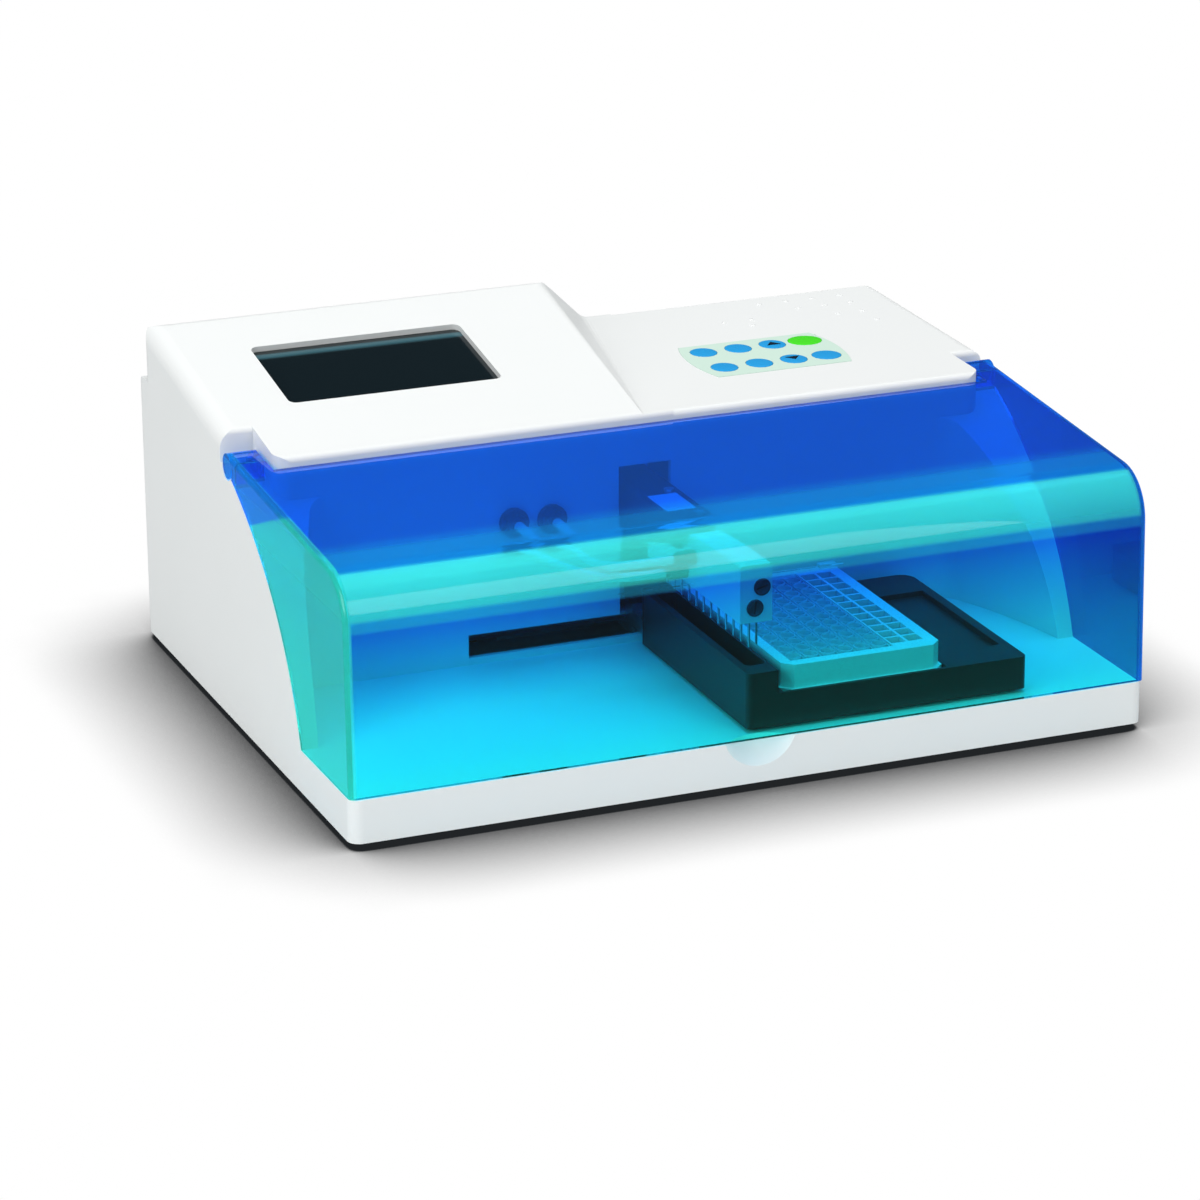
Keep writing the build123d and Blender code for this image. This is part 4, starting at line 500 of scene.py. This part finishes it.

# Plugs of the wash head
# Two black plastic screw plugs close the channels at the head's front end. Each is turned on a
# lathe, with a raised ring round its face. The slot across it is a near-black flat sheet just proud
# of the face: painted shade in place of a cut groove.

plug_face = plain_finish("plug_plastic", (0.030, 0.050, 0.060), (0.024, 0.042, 0.052), 0.4)
# Painted shade of the slot: a near-black finish for the flat sheet laid across each plug's face.
slot_shade_paint = plain_finish("plug_slot", (0.002, 0.003, 0.003), (0.003, 0.004, 0.004), 0.6)
plug_front_y = 22.1
plug_sides = 40
plug_radius = 4.22
plug_ring = 0.9
plug_ring_y = -0.4
plug_face_y = -0.1
plug_profile = (
    (plug_radius, 0.5), (plug_radius, -0.25), (4.05, plug_ring_y), (plug_radius - plug_ring, plug_ring_y),
    (3.2, plug_face_y), (0.4, plug_face_y),
)
slot_half_length, slot_half_width = 3.0, 0.4
slot_proud = 0.03
plugs = (("upper", 9.9, 93.6, 0.25), ("lower", 6.3, 83.5, 1.45))
for plug_name, plug_x, plug_z, slot_turn in plugs:
    face_middle = np.array((plug_x, plug_front_y - front_shift, plug_z))
    points = turned(plug_profile, plug_sides)[:, [0, 2, 1]] + face_middle
    plug = new_piece("plug_" + plug_name, points * mm, ring_faces(len(plug_profile), plug_sides), plug_face)
    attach(plug, "head")
    across = np.array((math.cos(slot_turn), 0, math.sin(slot_turn))) * slot_half_length
    along = np.array((-math.sin(slot_turn), 0, math.cos(slot_turn))) * slot_half_width
    slot_middle = face_middle + (0, plug_face_y - slot_proud, 0)
    corners = [(slot_middle + a * across + b * along) * mm for a, b in ((-1, -1), (1, -1), (1, 1), (-1, 1))]
    slot = new_piece("plug_slot_" + plug_name, corners, [(0, 1, 2, 3)], slot_shade_paint, False)
    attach(slot, "head")

# Sticker on the arm
# A blank white paper sticker is stuck on the flat top of the head's arm.

paper = plain_finish("white_paper", (0.85, 0.87, 0.87), (0.82, 0.84, 0.84), 0.6)
arm_top_z = 107.2
sticker_x = (-6.0, 9.4)
sticker_y = (99.0, 124.6)
glue_thickness = 0.02
paper_thickness = 0.12
paper_low_z = arm_top_z + glue_thickness
paper_shape = bar_shape(*sticker_x, *sticker_y, paper_low_z, paper_low_z + paper_thickness)
sticker = new_piece("arm_sticker", *paper_shape, paper, False)
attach(sticker, "head")

# Soft tubes
# Two clear soft tubes lead from the fittings in the chamber's rear wall to the wash head.
# They are pushed over barbs and are cut a little long for the head's travel; each is built in one
# fixed shape and does not follow the head.


def curve_points(name, controls):
    """Points along the tube's spline, which starts and ends at its first and last control point."""
    data = bpy.data.curves.new(name + "_line", "CURVE")
    data.dimensions = "3D"
    data.resolution_u = 24
    spline = data.splines.new("NURBS")
    spline.points.add(len(controls) - 1)
    for point, control in zip(spline.points, controls):
        point.co = (*place(*control), 1)
    spline.order_u = 3
    spline.use_endpoint_u = True
    line = bpy.data.objects.new(name + "_line", data)
    scene.collection.objects.link(line)
    read = bpy.data.meshes.new_from_object(line)
    points = np.empty(3 * len(read.vertices))
    read.vertices.foreach_get("co", points)
    bpy.data.objects.remove(line)
    bpy.data.curves.remove(data)
    bpy.data.meshes.remove(read)
    return points.reshape(-1, 3)


def tube_mesh(points, radius, sides):
    """Rings p = c + r (n cos t + b sin t), where n is carried along the line without twist."""
    tangent = np.gradient(points, axis=0)
    tangent /= np.linalg.norm(tangent, axis=1)[:, None]
    normal = np.array([0.0, 0.0, 1.0])
    angle = np.arange(sides)[:, None] * 2 * math.pi / sides
    rings = []
    for point, along in zip(points, tangent):
        normal = normal - along * (normal @ along)
        normal /= np.linalg.norm(normal)
        rings.append(point + radius * (np.cos(angle) * normal + np.sin(angle) * np.cross(along, normal)))
    return np.concatenate(rings), ring_faces(len(points), sides)


tube_radius = 2.5
tube_sides = 24
tube_plastic = plain_finish("tube_plastic", (0.66, 0.78, 0.78), (0.58, 0.70, 0.71), 0.3)
tube_routes = {
    "waste_tube": [(-66.8, 141, 94.6), (-66.8, 123, 94.6), (-64, 103, 91),
                   (-49, 89.5, 84.5), (-30, 88, 82.4), (-12.5, 88, 82.4)],
    "wash_tube": [(-46.8, 141, 93.9), (-46.8, 122, 93.9), (-46.6, 103, 89.4),
                  (-41, 88, 90), (-28.5, 78, 92.9), (-12.5, 78, 92.9)],
}
dress(tube_plastic, *tube_routes)
for tube_name, controls in tube_routes.items():
    line_points = curve_points(tube_name, controls)
    tube = new_piece(tube_name + "_soft", *tube_mesh(line_points, tube_radius * mm, tube_sides), tube_plastic)
    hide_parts(tube_name)
    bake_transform(tube)

# Display
# A dark liquid crystal display under a clear plastic pane that is glued into the console. The two
# show as one dark sheet, with a paler strip near the rear edge.

display_front_y = 204.0
display_rear_y = 268.0
display_glass, nodes, links, shader = new_material("display_pane")
shader.inputs["Roughness"].default_value = 0.14
where = nodes.new("ShaderNodeTexCoord")
parts = nodes.new("ShaderNodeSeparateXYZ")
from_front = value_range(nodes, (display_front_y - front_shift) * mm, (display_rear_y - front_shift) * mm)
strip_tint = colour_ramp(
    nodes, (0.86, (0.0022, 0.009, 0.013)), (0.905, (0.040, 0.120, 0.150)),
    (0.94, (0.034, 0.105, 0.130)), (0.965, (0.004, 0.012, 0.014)),
)
grain = add_grain(display_glass, scale=300.0, relief=0.02)
links.new(where.outputs["Object"], parts.inputs["Vector"])
links.new(parts.outputs["Y"], from_front.inputs["Value"])
links.new(from_front.outputs["Result"], strip_tint.inputs["Fac"])
links.new(strip_tint.outputs["Color"], shader.inputs["Base Color"])
links.new(grain.outputs["Normal"], shader.inputs["Normal"])
dress(display_glass, "lcd_window", "lcd_module")

# Keypad
# A thin printed plastic film is glued into the deck. Seven blue keys and a green one, domed and
# moulded, stand in its windows, and two of the blue ones carry a printed arrow.

overlay_film = plain_finish("overlay_film", (0.62, 0.80, 0.70), (0.60, 0.78, 0.68), 0.45)
dress(overlay_film, "keypad_overlay")
key_blue = plain_finish("blue_key", (0.010, 0.34, 0.74), (0.009, 0.31, 0.70), 0.45)
key_green = plain_finish("green_key", (0.07, 0.78, 0.02), (0.06, 0.72, 0.016), 0.35)
mark_ink = plain_finish("dark_marks", (0.002, 0.012, 0.030), (0.003, 0.016, 0.036), 0.7)
film_proud = 0.2
key_rise = 0.6
key_sink = 0.5
key_sides, key_rings = 48, 10
key_columns = (70.2, 89.5, 108.7, 127)
key_rows = (205, 232)
key_half = (6.9, 7.4)
wider_key_half = {"key_4": (7.6, 7.4), "key_8": (9.0, 8.0)}
arrow_way = {"key_3": -1, "key_7": 1}
arrow_half_width = 3.9
arrow_half_length = 2.5
arrow_above_key = 0.08
key_places = [(x, y) for y in key_rows for x in key_columns]
for number, (key_x, key_y) in enumerate(key_places, 1):
    key_name = f"key_{number}"
    edge_z = deck_height(key_y) + film_proud
    half_x, half_y = wider_key_half.get(key_name, key_half)
    key_form = (half_x, half_y, key_rise, key_sink, deck_tilt, key_sides, key_rings)
    shape = dome((key_x, key_y, edge_z), *key_form)
    cap = new_piece(key_name + "_cap", *shape, key_green if key_name == "key_8" else key_blue)
    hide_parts(key_name)
    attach(cap, key_name + "_body")
    if key_name in arrow_way:
        way = arrow_way[key_name]
        top_z = edge_z + key_rise + arrow_above_key
        corners = ((-arrow_half_width, -arrow_half_length), (arrow_half_width, -arrow_half_length),
                   (0, arrow_half_length))
        flat = [place(key_x + x, key_y + way * y, top_z + way * y * deck_slope) for x, y in corners]
        arrow = new_piece(key_name + "_arrow", flat, [(0, 1, 2)[::way]], mark_ink, False)
        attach(arrow, key_name + "_body")

# Cover
# One sheet of tinted blue acrylic is bent over a former, a side panel is glued in at each end, and
# the whole turns on two steel pins. The acrylic is one blue, and its colour holds painted light and
# shade: cyan at the foot and low on the left panel, deep blue above and on the right panel, and a
# paler band along the bend that is a painted reflection of a soft box.

dress(steel, "hinge_pins")
# Height span of the sheet's colour ramp: its blue tint with painted light, shade and reflection.
tint_and_light_low_z, tint_and_light_high_z = 0.02, 0.14
shadow_low_z, shadow_high_z = 0.115, 0.13
panel_inner_x, panel_outer_x = 0.2010, 0.2016
# A slanted line across the left panel: painted shade above it, painted light below.
shade_line_slope = 0.376
shade_line_low, shade_line_high = 0.1040, 0.1056
# Left panel: cyan below the line is painted light, deep blue above it painted shade. The right panel is
# painted deep blue, its tint in shade.
left_painted_lit_tint = (0.070, 0.98, 0.82)
left_painted_shade_tint = (0.020, 0.42, 1.0)
right_tint_and_shade = (0.016, 0.34, 1.0)
low_shadow_tint = (0.85, 0.98, 1.0)
high_shadow_tint = (0.42, 0.80, 1.0)
panel_clearness = 0.74
# Sheet colour by height: cyan low down is painted light, deeper blue higher up and on top is painted shade,
# and the paler steps from 0.71 to 0.91 are a painted reflection of a soft box along the bend.
tint_and_painted_light_marks = (
    (0.10, (0.050, 1.0, 0.90)), (0.36, (0.056, 0.94, 0.93)), (0.58, (0.030, 0.60, 1.0)),
    (0.700, (0.022, 0.34, 1.0)), (0.712, (0.036, 0.60, 0.96)), (0.745, (0.036, 0.60, 0.96)),
    (0.755, (0.080, 0.95, 0.88)), (0.906, (0.100, 1.0, 0.90)), (0.913, (0.012, 0.25, 1.0)),
)
# The sheet is less clear in the band along the bend, so that its painted reflection shows.
clearness_and_painted_reflection_marks = (
    (0.700, 1.0), (0.712, 0.88), (0.745, 0.88), (0.755, 0.72), (0.906, 0.66), (0.913, 0.88),
)
blue_acrylic, nodes, links, shader = new_material("blue_acrylic")
shader.inputs["Roughness"].default_value = 0.02
shader.inputs["IOR"].default_value = 1.45
grain = add_grain(blue_acrylic, scale=60.0, relief=0.01)
links.new(grain.outputs["Normal"], shader.inputs["Normal"])
where = nodes.new("ShaderNodeTexCoord")
parts = nodes.new("ShaderNodeSeparateXYZ")
links.new(where.outputs["Object"], parts.inputs["Vector"])

height = value_range(nodes, tint_and_light_low_z, tint_and_light_high_z)
tint_and_painted_light = colour_ramp(nodes, *tint_and_painted_light_marks)
clearness_and_painted_reflection = colour_ramp(nodes, *((position, (share,) * 3) for position, share in clearness_and_painted_reflection_marks))
links.new(parts.outputs["Z"], height.inputs["Value"])
links.new(height.outputs["Result"], tint_and_painted_light.inputs["Fac"])
links.new(height.outputs["Result"], clearness_and_painted_reflection.inputs["Fac"])

on_left = value_range(nodes, -panel_inner_x, -panel_outer_x)
on_right = value_range(nodes, panel_inner_x, panel_outer_x)
slanted_height = nodes.new("ShaderNodeMath")
slanted_height.operation = "MULTIPLY_ADD"
slanted_height.inputs[1].default_value = shade_line_slope
above_shade_line = value_range(nodes, shade_line_low, shade_line_high)
left_painted_light_and_shade = colour_mix(nodes, left_painted_lit_tint, left_painted_shade_tint)
sheet_or_left = colour_mix(nodes)
left_or_right = colour_mix(nodes, second=right_tint_and_shade)
links.new(parts.outputs["X"], on_left.inputs["Value"])
links.new(parts.outputs["X"], on_right.inputs["Value"])
links.new(parts.outputs["Y"], slanted_height.inputs[0])
links.new(parts.outputs["Z"], slanted_height.inputs[2])
links.new(slanted_height.outputs["Value"], above_shade_line.inputs["Value"])
links.new(above_shade_line.outputs["Result"], left_painted_light_and_shade.inputs["Factor"])
links.new(on_left.outputs["Result"], sheet_or_left.inputs["Factor"])
links.new(tint_and_painted_light.outputs["Color"], sheet_or_left.inputs["A"])
links.new(left_painted_light_and_shade.outputs["Result"], sheet_or_left.inputs["B"])
links.new(on_right.outputs["Result"], left_or_right.inputs["Factor"])
links.new(sheet_or_left.outputs["Result"], left_or_right.inputs["A"])
links.new(left_or_right.outputs["Result"], shader.inputs["Base Color"])

on_panel = nodes.new("ShaderNodeMath")
on_panel.operation = "ADD"
clearness = colour_mix(nodes, second=(panel_clearness,) * 3)
links.new(on_left.outputs["Result"], on_panel.inputs[0])
links.new(on_right.outputs["Result"], on_panel.inputs[1])
links.new(on_panel.outputs["Value"], clearness.inputs["Factor"])
links.new(clearness_and_painted_reflection.outputs["Color"], clearness.inputs["A"])
links.new(clearness.outputs["Result"], shader.inputs["Transmission Weight"])

tinted_light = nodes.new("ShaderNodeBsdfTransparent")
shadow_tint = colour_mix(nodes, low_shadow_tint, high_shadow_tint)
upper_part = value_range(nodes, shadow_low_z, shadow_high_z)
rays = nodes.new("ShaderNodeLightPath")
sheet_or_shadow = nodes.new("ShaderNodeMixShader")
links.new(parts.outputs["Z"], upper_part.inputs["Value"])
links.new(upper_part.outputs["Result"], shadow_tint.inputs["Factor"])
links.new(shadow_tint.outputs["Result"], tinted_light.inputs["Color"])
links.new(rays.outputs["Is Shadow Ray"], sheet_or_shadow.inputs["Fac"])
links.new(shader.outputs["BSDF"], sheet_or_shadow.inputs[1])
links.new(tinted_light.outputs["BSDF"], sheet_or_shadow.inputs[2])
links.new(sheet_or_shadow.outputs["Shader"], nodes["Material Output"].inputs["Surface"])
dress(blue_acrylic, "splash_cover")
